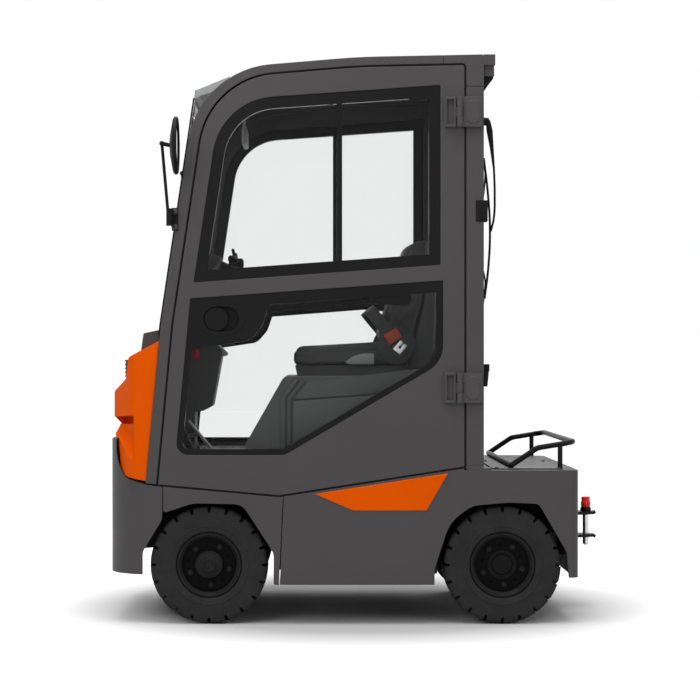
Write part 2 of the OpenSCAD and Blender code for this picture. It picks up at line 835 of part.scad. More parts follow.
module cab_side() {
    stop_out = half_w - door_pocket;
    joint_z = door_top_z - 76;
    color(paint) {
        difference() {
            plate(side_outline(front_pillar, roof_rail, rear_pillar), cab_in, half_w);
            plate(inset(door_outline, -door_gap), stop_out, half_w + 1);
            plate(inset(door_outline, door_stop), cab_in - 1, half_w + 1);
            // Joints of the roof casting
            block([x_dr + 78, half_w - 3, joint_z], [x_dr + 82, half_w + 1, roof_top_z + 20]);
            block([cab_rear_x - 1, half_w - 3, joint_z], [x_dr, half_w + 1, joint_z + 4]);
        }
        // Flange behind the gap under the door
        plate([
            [x_dr, z_sill_rear - flange_h, 0], [x_v, z_sill_v - flange_h, 0],
            [x_df, z_sill_front - flange_h, 0],
            [x_df, z_sill_front + 10, 0], [x_v, z_sill_v + 10, 0], [x_dr, z_sill_rear + 10, 0]
        ], cab_in, stop_out);
        // Foot of the rear pillar on the deck
        block([cab_rear_x, cab_in, deck_z], [x_dr - door_gap, half_w - 1, z_sill_rear + 20]);
        block([cab_rear_x - 30, cab_in, deck_z], [x_dr - door_gap, half_w - 1, deck_z + 9]);
    }
}

module cab_floor() {
    color(black) difference() {
        block([cab_rear_x + wall_t, -cab_in, pan_z], [screen_x(floor_z) - wall_t - 4, cab_in, floor_z]);
        block([rear_bulkhead_x + bulkhead_t, -tray_half_w + 10, pan_z - 1],
            [front_bulkhead_x, tray_half_w - 10, floor_z + 1]);
    }
}

wall_t = 24;

module front_wall() {
    color(paint) plate([
        [screen_x(545) - wall_t, 545, 0], [screen_x(545), 545, 0], [screen_x(1110), 1110, 0],
        [screen_x(1110) - wall_t, 1110, 0]
    ], -cab_in, cab_in);
}

rear_pane_z0 = 1032;
rear_pane_z1 = door_top_z - 96;
rear_pane_half_w = 430;

module rear_wall() {
    color(paint) difference() {
        block([cab_rear_x, -cab_in, deck_z + 2],
            [cab_rear_x + wall_t, cab_in, roof_top_z - roof_t - 1]);
        translate([cab_rear_x - 1, 0, 0]) rotate([90, 0, 90]) linear_extrude(wall_t + 2)
            soft_square(-rear_pane_half_w, rear_pane_half_w, rear_pane_z0, rear_pane_z1, 40);
    }
}

module rear_window() {
    color("#202428", 0.5) translate([cab_rear_x - glass_t - seat_gap, 0, 0])
        rotate([90, 0, 90]) linear_extrude(glass_t)
        soft_square(-rear_pane_half_w - 40, rear_pane_half_w + 40, rear_pane_z0 - 20,
            rear_pane_z1 + 20, 50);
}

roof_t = 38;
roof_overhang = 44;
visor_z = door_top_z - 115;
visor_x = screen_x(visor_z) - 134;

module roof() {
    zr = roof_top_z;
    x0 = cab_rear_x - roof_overhang;
    x1 = cab_rear_x - seat_gap;
    color(paint) {
        // Shell in line with the cab sides
        intersection() {
            difference() {
                plate(side_outline(front_pillar, roof_rail, rear_pillar), -cab_in, cab_in);
                plate(side_outline(front_pillar - roof_t, roof_rail - roof_t, rear_pillar + 60),
                    -cab_in - 1, cab_in + 1);
            }
            block([cab_rear_x - 1, -half_w, door_top_z - 200], [visor_x, half_w, zr + 20]);
        }
        // Rear edge, and the box under it
        block([x0, -half_w, zr - 40], [x1, half_w, zr]);
        block([x1 - 1, -cab_in, zr - roof_t + 1], [cab_rear_x + 12, cab_in, zr - 2]);
        block([x0 + 3, 15 - half_w, zr - 82], [x1, half_w - 15, zr - 39]);
    }
}

module roof_visor() {
    zt = door_top_z;
    color("#d8d8d8") plate([
        [visor_x + seat_gap, zt - 64, 0], [visor_x + 118, zt - 102, 6], [visor_x + 140, visor_z, 3],
        [visor_x + 132, zt - 80, 8], [visor_x + seat_gap, zt - 26, 0]
    ], -cab_in, cab_in);
}

screen_z0 = 1118;
screen_z1 = door_top_z - 118;

module windscreen() {
    color("#202428", 0.5) plate([
        [screen_x(screen_z0) + seat_gap, screen_z0, 0],
        [screen_x(screen_z0) + seat_gap + glass_t, screen_z0, 0],
        [screen_x(z_kink) + seat_gap + glass_t, z_kink, 0],
        [screen_x(screen_z1) + seat_gap + glass_t, screen_z1, 0],
        [screen_x(screen_z1) + seat_gap, screen_z1, 0],
        [screen_x(z_kink) + seat_gap, z_kink, 0]
    ], -half_w + 8, half_w - 8);
}

// Rear wiper, work lamp and mirrors

wiper_y = 250;
wiper_z = door_top_z - 171;

module rear_wiper() {
    x0 = cab_rear_x - glass_t;
    color(black) {
        rod([x0 - 1, wiper_y, wiper_z], [x0 - 44, wiper_y, wiper_z], 16);
        rod([x0 - 36, wiper_y, wiper_z], [x0 - 62, wiper_y - 60, wiper_z - 370], 8);
        rod([x0 - 62, wiper_y - 60, wiper_z - 370], [x0 - 20, wiper_y - 70, wiper_z - 440], 7);
        translate([x0 - 62, wiper_y - 60, wiper_z - 370]) sphere(9);
        block([x0 - 24, wiper_y - 78, wiper_z - 786], [x0 - 2, wiper_y - 62, wiper_z - 123]);
    }
}

// Work lamp at the foot of the rear window, and the brackets under the roof's rear edge
module work_lamp() {
    x0 = cab_rear_x - roof_overhang;
    x1 = cab_rear_x - seat_gap;
    z1 = roof_top_z - 82 - seat_gap;
    color(black) both_sides() {
        plate([[x1, z1 - 58, 0], [x1, z1, 0], [x0 + 6, z1, 0], [x0 + 6, z1 - 8, 0]],
            half_w - 36, half_w - 24);
        translate([x1 - 16, lamp_side_y, lamp_foot_z]) cylinder(r1 = 10, r2 = 16, h = 62);
        block([x1 - 32, lamp_side_y - 18, lamp_foot_z + 60], [x1, lamp_side_y + 18, lamp_foot_z + 88]);
    }
}

lamp_side_y = 440;
lamp_foot_z = rear_pane_z0 - 116;

mirror_y = half_w + 40;
mirror_z = door_top_z - 306;
mirror_foot_z = mirror_z - 324;
mirror_r = 112;
mirror_x = screen_x(mirror_z) + 39;
mirror_foot_x = screen_x(mirror_foot_z) - 13;

module mirrors() {
    stem_low = [mirror_foot_x + 34, mirror_y, mirror_foot_z + 42];
    stem_top = [mirror_x + 56, mirror_y, mirror_z + 8];
    color(black) both_sides() {
        rod(stem_low, stem_top, 6);
        translate(stem_top) sphere(10);
        rod([mirror_x + 20, mirror_y, mirror_z], stem_top, 8);
        // Dished head with its glass to the rear
        translate([mirror_x, mirror_y, mirror_z]) rotate([0, 90, 0]) rotate_extrude() polygon(rounded([
            [0, 0, 0], [mirror_r - 4, 0, 0], [mirror_r, 4, 2], [mirror_r - 8, 12, 6], [40, 24, 20],
            [0, 26, 0]]));
        // Clamp and bracket on the front pillar
        translate([mirror_foot_x + 32, mirror_y, mirror_foot_z + 17]) cylinder(r = 11, h = 66);
        block([mirror_foot_x, half_w, mirror_foot_z],
            [mirror_foot_x + 24, half_w + 4, mirror_foot_z + 88]);
        block([mirror_foot_x + 20, half_w, mirror_foot_z + 12],
            [mirror_foot_x + 24, mirror_y, mirror_foot_z + 82]);
    }
}

// Controls

steer_x = x_fa - 124;
steer_z = 1365;
steer_tilt = 25;
steer_wheel_r = 165;

module along_column() {
    translate([steer_x, 0, steer_z]) rotate([0, -steer_tilt, 0]) children();
}

module dashboard() {
    color(black) difference() {
        union() {
            plate([
                [x_fa + 160, floor_z + seat_gap, 0], [x_fa + 160, 1085, 0], [x_fa + 4, 1095, 10],
                [x_fa - 34, 1062, 20],
                [x_fa + 8, 831, 10], [x_fa + 44, 812, 10], [x_fa + 80, 806, 10],
                [x_fa + 80, floor_z + seat_gap, 0]
            ], -95, 95);
            plate([
                [screen_x(1080) - wall_t - 2, 1080, 0], [screen_x(1250) - 30, 1250, 40],
                [screen_x(1430) - 20, 1430, 20],
                [x_fa + 80, 1442, 20], [x_fa + 60, 1330, 30], [x_fa + 60, 1080, 0]
            ], -430, 430);
            // Instrument pods beside the steering wheel
            both_sides() plate([
                [x_fa + 90, 1320, 0], [x_fa + 100, 1440, 0], [x_fa + 44, 1456, 20],
                [x_fa - 42, 1424, 10],
                [x_fa - 24, 1392, 8], [x_fa + 34, 1330, 20]
            ], 205, 430);
            along_column() translate([0, 0, -300]) cylinder(r = 30, h = 278);
        }
        along_column() translate([0, 0, -120]) cylinder(r = 9 + running_gap, h = 140);
    }
}

module steering_wheel() {
    color(black) along_column() {
        rotate_extrude() translate([steer_wheel_r, 0]) circle(14);
        translate([0, 0, -16]) cylinder(r = 42, h = 26);
        translate([0, 0, -110]) cylinder(r = 9, h = 100);
        for (a = [90, 210, 330]) rotate(a) block([30, -14, -12], [steer_wheel_r, 14, -2]);
        // Knob for turning with one hand
        rotate(65) translate([steer_wheel_r, 0, 9]) rotate_extrude() polygon(rounded([
            [0, 0, 0], [8, 0, 0], [8, 12, 3], [19, 20, 6], [21, 38, 9], [0, 46, 0]]));
    }
}

module pedals() {
    color(black) for (y = [-170, 170]) {
        plate([[x_fa + 70, floor_z + seat_gap, 0], [x_fa + 150, floor_z + seat_gap, 0],
            [x_fa + 160, floor_z + 160, 8], [x_fa + 146, floor_z + 160, 8]],
            y - 42, y + 42);
    }
}

// Seat on the battery housing

seat_x = cab_rear_x + 1060;
seat_top_z = 955;
seat_pan_t = 44;
seat_half_w = 240;
housing_t = 15;
housing_half_w = 470;

housing_side = [
    [cab_rear_x + wall_t + 2, floor_z + seat_gap, 0], [x_fa - 126, floor_z + seat_gap, 0],
    [x_fa - 142, 699, 60],
    [x_fa - 288, seat_top_z, 25], [cab_rear_x + wall_t + 2, seat_top_z, 0]
];

module seat_base() {
    z0 = seat_top_z - 1;
    z1 = seat_top_z + seat_pan_t;
    hollow_y = housing_half_w - housing_t;
    mouth_y = tray_half_w - 10;
    color("#3c3b3c") {
        difference() {
            plate(housing_side, -housing_half_w, housing_half_w);
            plate(inset(housing_side, housing_t), -hollow_y, hollow_y);
            block([rear_bulkhead_x + bulkhead_t, -mouth_y, floor_z - 1],
                [front_bulkhead_x, mouth_y, floor_z + 40]);
        }
        // Pan that carries the cushion and the back
        plate([[seat_x - 790, z0, 0], [seat_x - 340, z0, 0], [seat_x - 330, z1, 4],
            [seat_x - 790, z1, 0]], -200, 200);
    }
}

module seat_cushion() {
    z0 = seat_top_z + seat_pan_t + seat_gap;
    color(black) plate([
        [seat_x - 720, z0, 10], [seat_x - 318, z0, 30], [seat_x - 306, z0 + 74, 34],
        [seat_x - 680, z0 + 96, 20], [seat_x - 720, z0 + 96, 10]
    ], -seat_half_w, seat_half_w);
}

module seat_back() {
    z0 = seat_top_z + seat_pan_t + seat_gap;
    color(black) plate([
        [seat_x - 790, z0, 0], [seat_x - 720.5, z0, 0], [seat_x - 720.5, z0 + 98, 0],
        [seat_x - 664, z0 + 98, 12],
        [seat_x - 786, z0 + 516, 40], [seat_x - 878, z0 + 531, 45], [seat_x - 856, z0 + 256, 80]
    ], -seat_half_w + 10, seat_half_w - 10);
}

// Doors, drawn for the left side

hinge_x = x_dr + 19;
hinge_y = half_w + hinge_pin_out;
hinge_zs = [door_top_z - 231, 855];
leaf_in = half_w + seat_gap;
leaf_out = hinge_y - 6;
leaf_len = 56;
leaf_lip = 10;
leaf_floor = 4;
knuckle_part = 0.34;

module door_panel() {
    color(paint) {
        difference() {
            plate(door_outline, half_w - door_t, half_w);
            plate(upper_outline, half_w - door_t - 1, half_w + 1);
            plate(lower_outline, half_w - door_t - 1, half_w + 1);
        }
        // Hinge leaves with the middle knuckle
        for (z = hinge_zs) difference() {
            union() {
                block([hinge_x + 14, half_w - 1, z], [hinge_x + leaf_len, leaf_out, z + hinge_h]);
                block([hinge_x, hinge_y - hinge_knuckle_r, z + hinge_h * knuckle_part],
                    [hinge_x + 20, leaf_out, z + hinge_h * (1 - knuckle_part)]);
                translate([hinge_x, hinge_y, z + hinge_h * knuckle_part])
                    cylinder(r = hinge_knuckle_r, h = hinge_h * (1 - 2 * knuckle_part));
            }
            translate([hinge_x, hinge_y, z - 1])
                cylinder(d = hinge_pin_d + 2 * running_gap, h = hinge_h + 2);
            block([hinge_x + 22, half_w + leaf_floor, z + leaf_lip],
                [hinge_x + leaf_len - 6, leaf_out + 1, z + hinge_h - leaf_lip]);
        }
    }
}

// Fixed hinge halves and pins on the rear pillars
module hinge_posts() {
    part_h = hinge_h * knuckle_part - 1;
    block_end = hinge_x - hinge_knuckle_r - 2;
    color(paint) both_sides() for (z = hinge_zs) {
        translate([hinge_x, hinge_y, z]) cylinder(d = hinge_pin_d, h = hinge_h);
        for (zz = [z, z + hinge_h - part_h]) {
            translate([hinge_x, hinge_y, zz]) cylinder(r = hinge_knuckle_r, h = part_h);
            block([block_end - 2, hinge_y - hinge_knuckle_r, zz], [hinge_x, leaf_out, zz + part_h]);
        }
        // Block on the pillar, and the pad on its face
        block([cab_rear_x + 6, leaf_in, z], [x_dr - door_gap, leaf_out, z + hinge_h]);
        block([x_dr - door_gap - 2, half_w + 9, z], [block_end, leaf_out, z + hinge_h]);
        translate([0, leaf_out + 2, 0]) rotate([90, 0, 0]) linear_extrude(3)
            soft_square(cab_rear_x + 16, x_dr - door_gap + 2, z + 14, z + hinge_h - 14, 24);
    }
}

trim_out = half_w - 2;
trim_in = half_w - door_t + 6;
handle_x = x_fa - 44;
handle_z = 1178;
bezel_rx = 94;
bezel_rz = 66;
bezel_out = 1.5;
paddle_x = handle_x + 16;
pocket_x = handle_x - 26;
pocket_r = 48;
pocket_depth = 20;
bar_x = x_mid + 73;
grab_r = 13;
grab_y = half_w - door_t - 34;
grab_front = [x_fa - 166, grab_y, 1217];
grab_rear = [x_fa - 636, grab_y, 1253];

// Opaque corner of the lower window that carries the handle
handle_panel = [
    [x_df - 128, 1062, 0], [x_df - 122, 1270, 0], [x_fa - 239, 1250, 0], [x_fa - 205, 1150, 60],
    [x_fa - 160, 1096, 60]
];
bezel = [for (a = [0 : arc_step : 359]) [handle_x + bezel_rx * cos(a),
    handle_z + bezel_rz * sin(a), 0]];

module disc(x, r, y0, y1) {
    translate([x, y1, handle_z]) rotate([90, 0, 0]) cylinder(r = r, h = y1 - y0);
}

// Pocket for the fingers: two discs and what lies between them
module handle_pocket() {
    y0 = trim_out - pocket_depth;
    y1 = half_w + 1;
    disc(paddle_x, pocket_r, y0, y1);
    disc(pocket_x, pocket_r, y0, y1);
    block([pocket_x, y0, handle_z - pocket_r], [paddle_x, y1, handle_z + pocket_r]);
}

module grab_bar() {
    up = 34;
    rod(grab_front, grab_rear, grab_r);
    for (p = [grab_front + [-24, 0, 0], grab_rear + [24, 0, 0]])
        rod(p, p + [0, trim_in - grab_y + 8, up], grab_r - 3);
}

module door_trim() {
    color(black) {
        difference() {
            plate(inset(upper_outline, seat_gap), trim_in, trim_out);
            plate(inset(upper_outline, sash_w), trim_in - 1, trim_out + 1);
        }
        intersection() {
            block([bar_x - sash_bar_w / 2, trim_in + 4, 1200],
                [bar_x + sash_bar_w / 2, trim_out - 3, door_top_z]);
            plate(inset(upper_outline, 10), trim_in, trim_out);
        }
        difference() {
            union() {
                difference() {
                    plate(inset(lower_outline, seat_gap), trim_in, trim_out);
                    plate(inset(lower_inner, border_w), trim_in - 1, trim_out + 1);
                }
                intersection() {
                    plate(inset(lower_outline, 3), trim_in, trim_out);
                    plate(handle_panel, trim_in, trim_out);
                }
                plate(bezel, trim_out - 2, trim_out + bezel_out);
            }
            handle_pocket();
        }
        disc(paddle_x, pocket_r - 3, trim_out - pocket_depth - 2, trim_out - 2);
        grab_bar();
    }
}

module door_glass() {
    pane_y = half_w - 22;
    bar = sash_bar_w / 2 + seat_gap;
    color("#202428", 0.4) {
        difference() {
            plate(inset(upper_outline, sash_w + seat_gap), pane_y, pane_y + glass_t);
            block([bar_x - bar, pane_y - 1, 1200], [bar_x + bar, pane_y + glass_t + 1, door_top_z]);
        }
        difference() {
            plate(inset(lower_inner, border_w + seat_gap), pane_y, pane_y + glass_t);
            plate(inset(handle_panel, -seat_gap), pane_y - 1, pane_y + glass_t + 1);
        }
    }
}

// Nodes

frame();
front_axle();
rear_axle();
battery();
front_bumper();
hood();
headlamps();
cowl();
front_fenders();
rear_body();
accent_panels();
deck_cover();
luggage_rail();
tail_lamps();
tow_coupling();
tow_pin();
cab_side();  // cab_side_left
on_side(-1) cab_side();  // cab_side_right
cab_floor();
front_wall();
rear_wall();
roof();
roof_visor();
windscreen();
rear_window();
rear_wiper();
work_lamp();
dashboard();
steering_wheel();
pedals();
seat_base();
seat_cushion();
seat_back();
mirrors();
hinge_posts();
door_panel();  // door_left
on_side(-1) door_panel();  // door_right
door_trim();  // door_trim_left
on_side(-1) door_trim();  // door_trim_right
door_glass();  // door_glass_left
on_side(-1) door_glass();  // door_glass_right
knuckle();  // knuckle_left
on_side(-1) knuckle();  // knuckle_right
tie_rod();
at_wheel(x_fa, 1) rim(front_cap);  // rim_front_left
at_wheel(x_fa, -1) rim(front_cap);  // rim_front_right
at_wheel(x_ra, 1) rim(rear_cap);  // rim_rear_left
at_wheel(x_ra, -1) rim(rear_cap);  // rim_rear_right
at_wheel(x_fa, 1) tyre();  // tyre_front_left
at_wheel(x_fa, -1) tyre();  // tyre_front_right
at_wheel(x_ra, 1) tyre();  // tyre_rear_left
at_wheel(x_ra, -1) tyre();  // tyre_rear_right
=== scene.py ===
import math

import bpy
from mathutils import Matrix, Vector


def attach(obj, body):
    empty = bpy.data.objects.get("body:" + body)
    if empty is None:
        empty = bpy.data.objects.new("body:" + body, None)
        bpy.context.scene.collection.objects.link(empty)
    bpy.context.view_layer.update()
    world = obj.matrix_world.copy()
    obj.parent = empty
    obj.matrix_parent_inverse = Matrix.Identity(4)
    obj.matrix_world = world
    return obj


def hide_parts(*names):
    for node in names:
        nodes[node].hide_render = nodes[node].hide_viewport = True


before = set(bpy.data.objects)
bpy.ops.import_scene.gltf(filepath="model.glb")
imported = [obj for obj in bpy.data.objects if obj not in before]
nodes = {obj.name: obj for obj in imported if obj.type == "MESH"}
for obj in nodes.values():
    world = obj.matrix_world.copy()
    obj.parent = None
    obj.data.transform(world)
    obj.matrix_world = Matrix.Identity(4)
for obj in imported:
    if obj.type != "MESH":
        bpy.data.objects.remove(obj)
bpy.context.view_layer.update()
print("frame loaded:", len(nodes), "nodes")

# Places that several pieces share, metres
body = {"rear": -0.835, "frontAxle": 0.592, "rearAxle": -0.542, "axleHeight": 0.228, "wheelSide": 0.48}

# Finishes

def newMaterial(name):
    mat = bpy.data.materials.new(name)
    mat.use_nodes = True
    tree = mat.node_tree
    shader = tree.nodes["Principled BSDF"]
    coords = tree.nodes.new("ShaderNodeTexCoord")
    return mat, tree, shader, coords.outputs["Object"]


# Sets a socket to a value, or links another node's output to it
def feed(node, name, value):
    if isinstance(value, bpy.types.NodeSocket):
        node.id_data.links.new(value, node.inputs[name])
    else:
        node.inputs[name].default_value = value


def noiseNode(tree, coords, scale, detail):
    node = tree.nodes.new("ShaderNodeTexNoise")
    feed(node, "Scale", scale)
    feed(node, "Detail", detail)
    feed(node, "Vector", coords)
    return node.outputs["Fac"]


def rampBetween(tree, factor, low, high, fromLow=0.3, fromHigh=0.7):
    node = tree.nodes.new("ShaderNodeMapRange")
    feed(node, "From Min", fromLow)
    feed(node, "From Max", fromHigh)
    feed(node, "To Min", low)
    feed(node, "To Max", high)
    feed(node, "Value", factor)
    return node.outputs["Result"]


def mixColours(tree, factor, first, second):
    node = tree.nodes.new("ShaderNodeMix")
    node.data_type = "RGBA"
    for name, value in (("A", first), ("B", second)):
        feed(node, name, (*value, 1) if isinstance(value, tuple) else value)
    feed(node, "Factor", factor)
    return node.outputs["Result"]


def mathNode(tree, operation, first, second):
    node = tree.nodes.new("ShaderNodeMath")
    node.operation = operation
    for slot, value in enumerate((first, second)):
        feed(node, slot, value)
    return node.outputs["Value"]


def bumpNode(tree, height, strength, distance, under=None):
    node = tree.nodes.new("ShaderNodeBump")
    feed(node, "Strength", strength)
    feed(node, "Distance", distance)
    feed(node, "Height", height)
    if under is not None:
        feed(node, "Normal", under)
    return node.outputs["Normal"]


# Rounds an edge in the shading, and says how near to an edge a point is
def softEdge(tree, radius):
    bevel = tree.nodes.new("ShaderNodeBevel")
    bevel.samples = 6
    feed(bevel, "Radius", radius)
    flat = tree.nodes.new("ShaderNodeNewGeometry")
    dot = tree.nodes.new("ShaderNodeVectorMath")
    dot.operation = "DOT_PRODUCT"
    feed(dot, 0, bevel.outputs["Normal"])
    feed(dot, 1, flat.outputs["Normal"])
    return bevel.outputs["Normal"], rampBetween(tree, dot.outputs["Value"], 1.0, 0.0, 0.8, 0.995)


# What coated finishes share: fineness of streaks, depth of the painted shade deep in a wheel's dish, colour
# of an edge paled by wear and a painted highlight
coatHabits = {"streaks": 2.7, "dishShadeLevel": 0.08, "wearAndHighlightGain": 1.45, "wearAndHighlightLift": 0.012}


# Paint, plastic and rubber: cloudy colour, uneven gloss, fine grain, painted shade deep in a wheel's dish,
# edges paled partly by wear and partly by a painted highlight
def coatedFinish(name, look):
    mat, tree, shader, coords = newMaterial(name)
    base = look["colour"]
    spread = look["spread"]
    cloud = noiseNode(tree, coords, look["cloud"], 4.0)
    darker = tuple(c * (1 - spread) for c in base)
    lighter = tuple(c * (1 + spread) for c in base)
    steps = rampBetween(tree, cloud, 0.0, 1.0)
    colour = mixColours(tree, steps, darker, lighter)
    streak = noiseNode(tree, coords, look["cloud"] * coatHabits["streaks"], 3.0)
    gloss = rampBetween(tree, streak, *look["rough"])
    grain = noiseNode(tree, coords, look["grain"], 2.0)
    under = None
    # Painted shade: the colour goes dark deep in a wheel's dish, where shade falls
    if "dishShade" in look:  # dark where the wheel's dish lies deep
        apart = tree.nodes.new("ShaderNodeSeparateXYZ")
        feed(apart, "Vector", coords)
        outwards = mathNode(tree, "ABSOLUTE", apart.outputs["Y"], 0.0)
        unshaded = rampBetween(tree, outwards, 0.0, 1.0, *look["dishShade"])
        colour = mixColours(tree, unshaded, tuple(c * coatHabits["dishShadeLevel"] for c in base), colour)
    # Edges go paler: partly wear from rubbing, partly a painted highlight along the edges
    if "edge" in look:
        under, edgeWearAndHighlight = softEdge(tree, look["edge"])
        edgeWearAndHighlightPatches = mathNode(tree, "MULTIPLY", edgeWearAndHighlight, rampBetween(tree, streak, 0.2, 0.7))
        pale = tuple(min(c * coatHabits["wearAndHighlightGain"] + coatHabits["wearAndHighlightLift"], 1) for c in base)
        colour = mixColours(tree, edgeWearAndHighlightPatches, colour, pale)
    feed(shader, "Base Color", colour)
    feed(shader, "Roughness", gloss)
    feed(shader, "Normal", bumpNode(tree, grain, look["bump"], look["depth"], under))
    feed(shader, "Metallic", look.get("metal", 0.0))
    feed(shader, "Specular IOR Level", look.get("shine", 0.5))
    return mat


finishLooks = {
    "bodyPaint": dict(colour=(0.069, 0.0655, 0.067), spread=0.05, cloud=3.0, rough=(0.44, 0.54),
                      grain=420, bump=0.08, depth=0.0006, shine=0.15, edge=0.004),
    "orangePaint": dict(colour=(0.8, 0.098, 0.0003), spread=0.04, cloud=3.0, rough=(0.4, 0.5),
                        grain=420, bump=0.06, depth=0.0006, shine=0.03, edge=0.006),
    "blackMetal": dict(colour=(0.0045, 0.0045, 0.0047), spread=0.15, cloud=9.0, rough=(0.36, 0.48),
                       grain=300, bump=0.12, depth=0.0006, shine=0.12, edge=0.002),
    # The wheel's last pair of numbers gives where the painted shade in its dish fades out
    "wheelPaint": dict(colour=(0.017, 0.017, 0.0173), spread=0.2, cloud=14.0, rough=(0.34, 0.48),
                       grain=300, bump=0.1, depth=0.0006, shine=0.05, edge=0.002, dishShade=(0.525, 0.541)),
    "blackPlastic": dict(colour=(0.009, 0.0088, 0.0089), spread=0.1, cloud=6.0, rough=(0.5, 0.62),
                         grain=900, bump=0.15, depth=0.0005, shine=0.09, edge=0.002),
    "greyPlastic": dict(colour=(0.06, 0.06, 0.061), spread=0.08, cloud=6.0, rough=(0.52, 0.62),
                        grain=900, bump=0.12, depth=0.0005, shine=0.2, edge=0.003),
    "leverPlastic": dict(colour=(0.42, 0.42, 0.42), spread=0.06, cloud=12.0, rough=(0.46, 0.58),
                         grain=900, bump=0.2, depth=0.0004),
    "cabLining": dict(colour=(0.096, 0.096, 0.097), spread=0.06, cloud=5.0, rough=(0.46, 0.56),
                      grain=900, bump=0.06, depth=0.0005, shine=0.25, edge=0.005),
    "tyreRubber": dict(colour=(0.0225, 0.0225, 0.0225), spread=0.18, cloud=14.0, rough=(0.66, 0.8),
                       grain=260, bump=0.22, depth=0.0008, shine=0.14),
    "sealRubber": dict(colour=(0.03, 0.029, 0.0295), spread=0.12, cloud=20.0, rough=(0.6, 0.72),
                       grain=500, bump=0.1, depth=0.0004, shine=0.2),
    "matRubber": dict(colour=(0.026, 0.026, 0.026), spread=0.18, cloud=12.0, rough=(0.62, 0.76),
                      grain=400, bump=0.2, depth=0.0006, shine=0.2),
    "zincSteel": dict(colour=(0.56, 0.56, 0.55), spread=0.12, cloud=30.0, rough=(0.28, 0.42),
                      grain=500, bump=0.12, depth=0.0004, metal=1.0),
    "boltSteel": dict(colour=(0.045, 0.045, 0.046), spread=0.2, cloud=60.0, rough=(0.35, 0.5),
                      grain=600, bump=0.12, depth=0.0003, metal=0.6),
    "redPlastic": dict(colour=(0.78, 0.026, 0.024), spread=0.06, cloud=10.0, rough=(0.3, 0.4),
                       grain=500, bump=0.08, depth=0.0004, shine=0.25),
    "buckleRed": dict(colour=(0.62, 0.105, 0.045), spread=0.06, cloud=30.0, rough=(0.4, 0.5),
                      grain=500, bump=0.08, depth=0.0004, shine=0.2),
    "palePanel": dict(colour=(0.34, 0.35, 0.345), spread=0.04, cloud=6.0, rough=(0.3, 0.4),
                      grain=500, bump=0.06, depth=0.0004),
    "batteryCase": dict(colour=(0.045, 0.05, 0.056), spread=0.15, cloud=8.0, rough=(0.5, 0.65),
                        grain=500, bump=0.2, depth=0.0006),
    "mirrorSilver": dict(colour=(0.86, 0.87, 0.88), spread=0.01, cloud=8.0, rough=(0.02, 0.06),
                         grain=300, bump=0.01, depth=0.0002, metal=1.0),
}
finishes = {name: coatedFinish(name, look) for name, look in finishLooks.items()}


# Clear glass that lets lamplight through
def windowGlass(look):
    mat, tree, shader, coords = newMaterial("windowGlass")
    feed(shader, "Base Color", (*look["tint"], 1))
    feed(shader, "Transmission Weight", 1.0)
    feed(shader, "IOR", look["ior"])
    smear = noiseNode(tree, coords, 5.0, 4.0)
    feed(shader, "Roughness", rampBetween(tree, smear, 0.0, look["smear"]))
    clear = tree.nodes.new("ShaderNodeBsdfTransparent")
    feed(clear, "Color", (*(look["shade"] * c for c in look["tint"]), 1))
    path = tree.nodes.new("ShaderNodeLightPath")
    either = mathNode(tree, "MAXIMUM", path.outputs["Is Shadow Ray"], path.outputs["Is Diffuse Ray"])
    blend = tree.nodes.new("ShaderNodeMixShader")
    feed(blend, "Fac", either)
    feed(blend, 1, shader.outputs["BSDF"])
    feed(blend, 2, clear.outputs["BSDF"])
    tree.links.new(blend.outputs["Shader"], tree.nodes["Material Output"].inputs["Surface"])
    return mat


# Grained vinyl of the seat: small cells with creases between them
def seatVinyl(look):
    mat, tree, shader, coords = newMaterial("seatVinyl")
    cells = tree.nodes.new("ShaderNodeTexVoronoi")
    cells.feature = "DISTANCE_TO_EDGE"
    feed(cells, "Scale", look["cells"])
    feed(cells, "Vector", coords)
    crease = rampBetween(tree, cells.outputs["Distance"], 0.0, 1.0, 0.0, 0.12)
    cloud = noiseNode(tree, coords, 9.0, 4.0)
    shade = mixColours(tree, rampBetween(tree, cloud, 0.0, 1.0), look["dark"], look["light"])
    feed(shader, "Base Color", mixColours(tree, crease, look["crease"], shade))
    feed(shader, "Roughness", rampBetween(tree, cloud, 0.46, 0.6))
    feed(shader, "Normal", bumpNode(tree, crease, 0.35, 0.0006))
    feed(shader, "Specular IOR Level", 0.4)
    feed(shader, "Sheen Weight", 0.08)
    return mat


# Belt webbing: ribs along the strap, crossed by the weave
def beltWebbing(look):
    mat, tree, shader, coords = newMaterial("beltWebbing")
    weave = []
    for axis in ("X", "Z"):
        wave = tree.nodes.new("ShaderNodeTexWave")
        wave.bands_direction = axis
        feed(wave, "Scale", look["ribs"])
        feed(wave, "Distortion", 0.6)
        feed(wave, "Vector", coords)
        weave.append(wave.outputs["Fac"])
    ribs = mathNode(tree, "MULTIPLY", *weave)
    feed(shader, "Base Color", mixColours(tree, ribs, look["dark"], look["light"]))
    feed(shader, "Roughness", rampBetween(tree, ribs, 0.62, 0.8, 0.0, 1.0))
    feed(shader, "Normal", bumpNode(tree, ribs, 0.4, 0.0008))
    feed(shader, "Sheen Weight", 0.15)
    return mat


# Lens of a lamp: clear colour over fine flutes
def lampLens(name, tint):
    mat, tree, shader, coords = newMaterial(name)
    flutes = tree.nodes.new("ShaderNodeTexWave")
    flutes.bands_direction = "Y"
    feed(flutes, "Scale", 32.0)
    feed(flutes, "Vector", coords)
    feed(shader, "Normal", bumpNode(tree, flutes.outputs["Fac"], 0.5, 0.002))
    dusty = noiseNode(tree, coords, 30.0, 3.0)
    feed(shader, "Roughness", rampBetween(tree, dusty, 0.08, 0.2))
    feed(shader, "Base Color", (*tint, 1))
    feed(shader, "Coat Weight", 0.15)
    feed(shader, "Coat Roughness", 0.06)
    feed(shader, "Specular IOR Level", 0.2)
    return mat


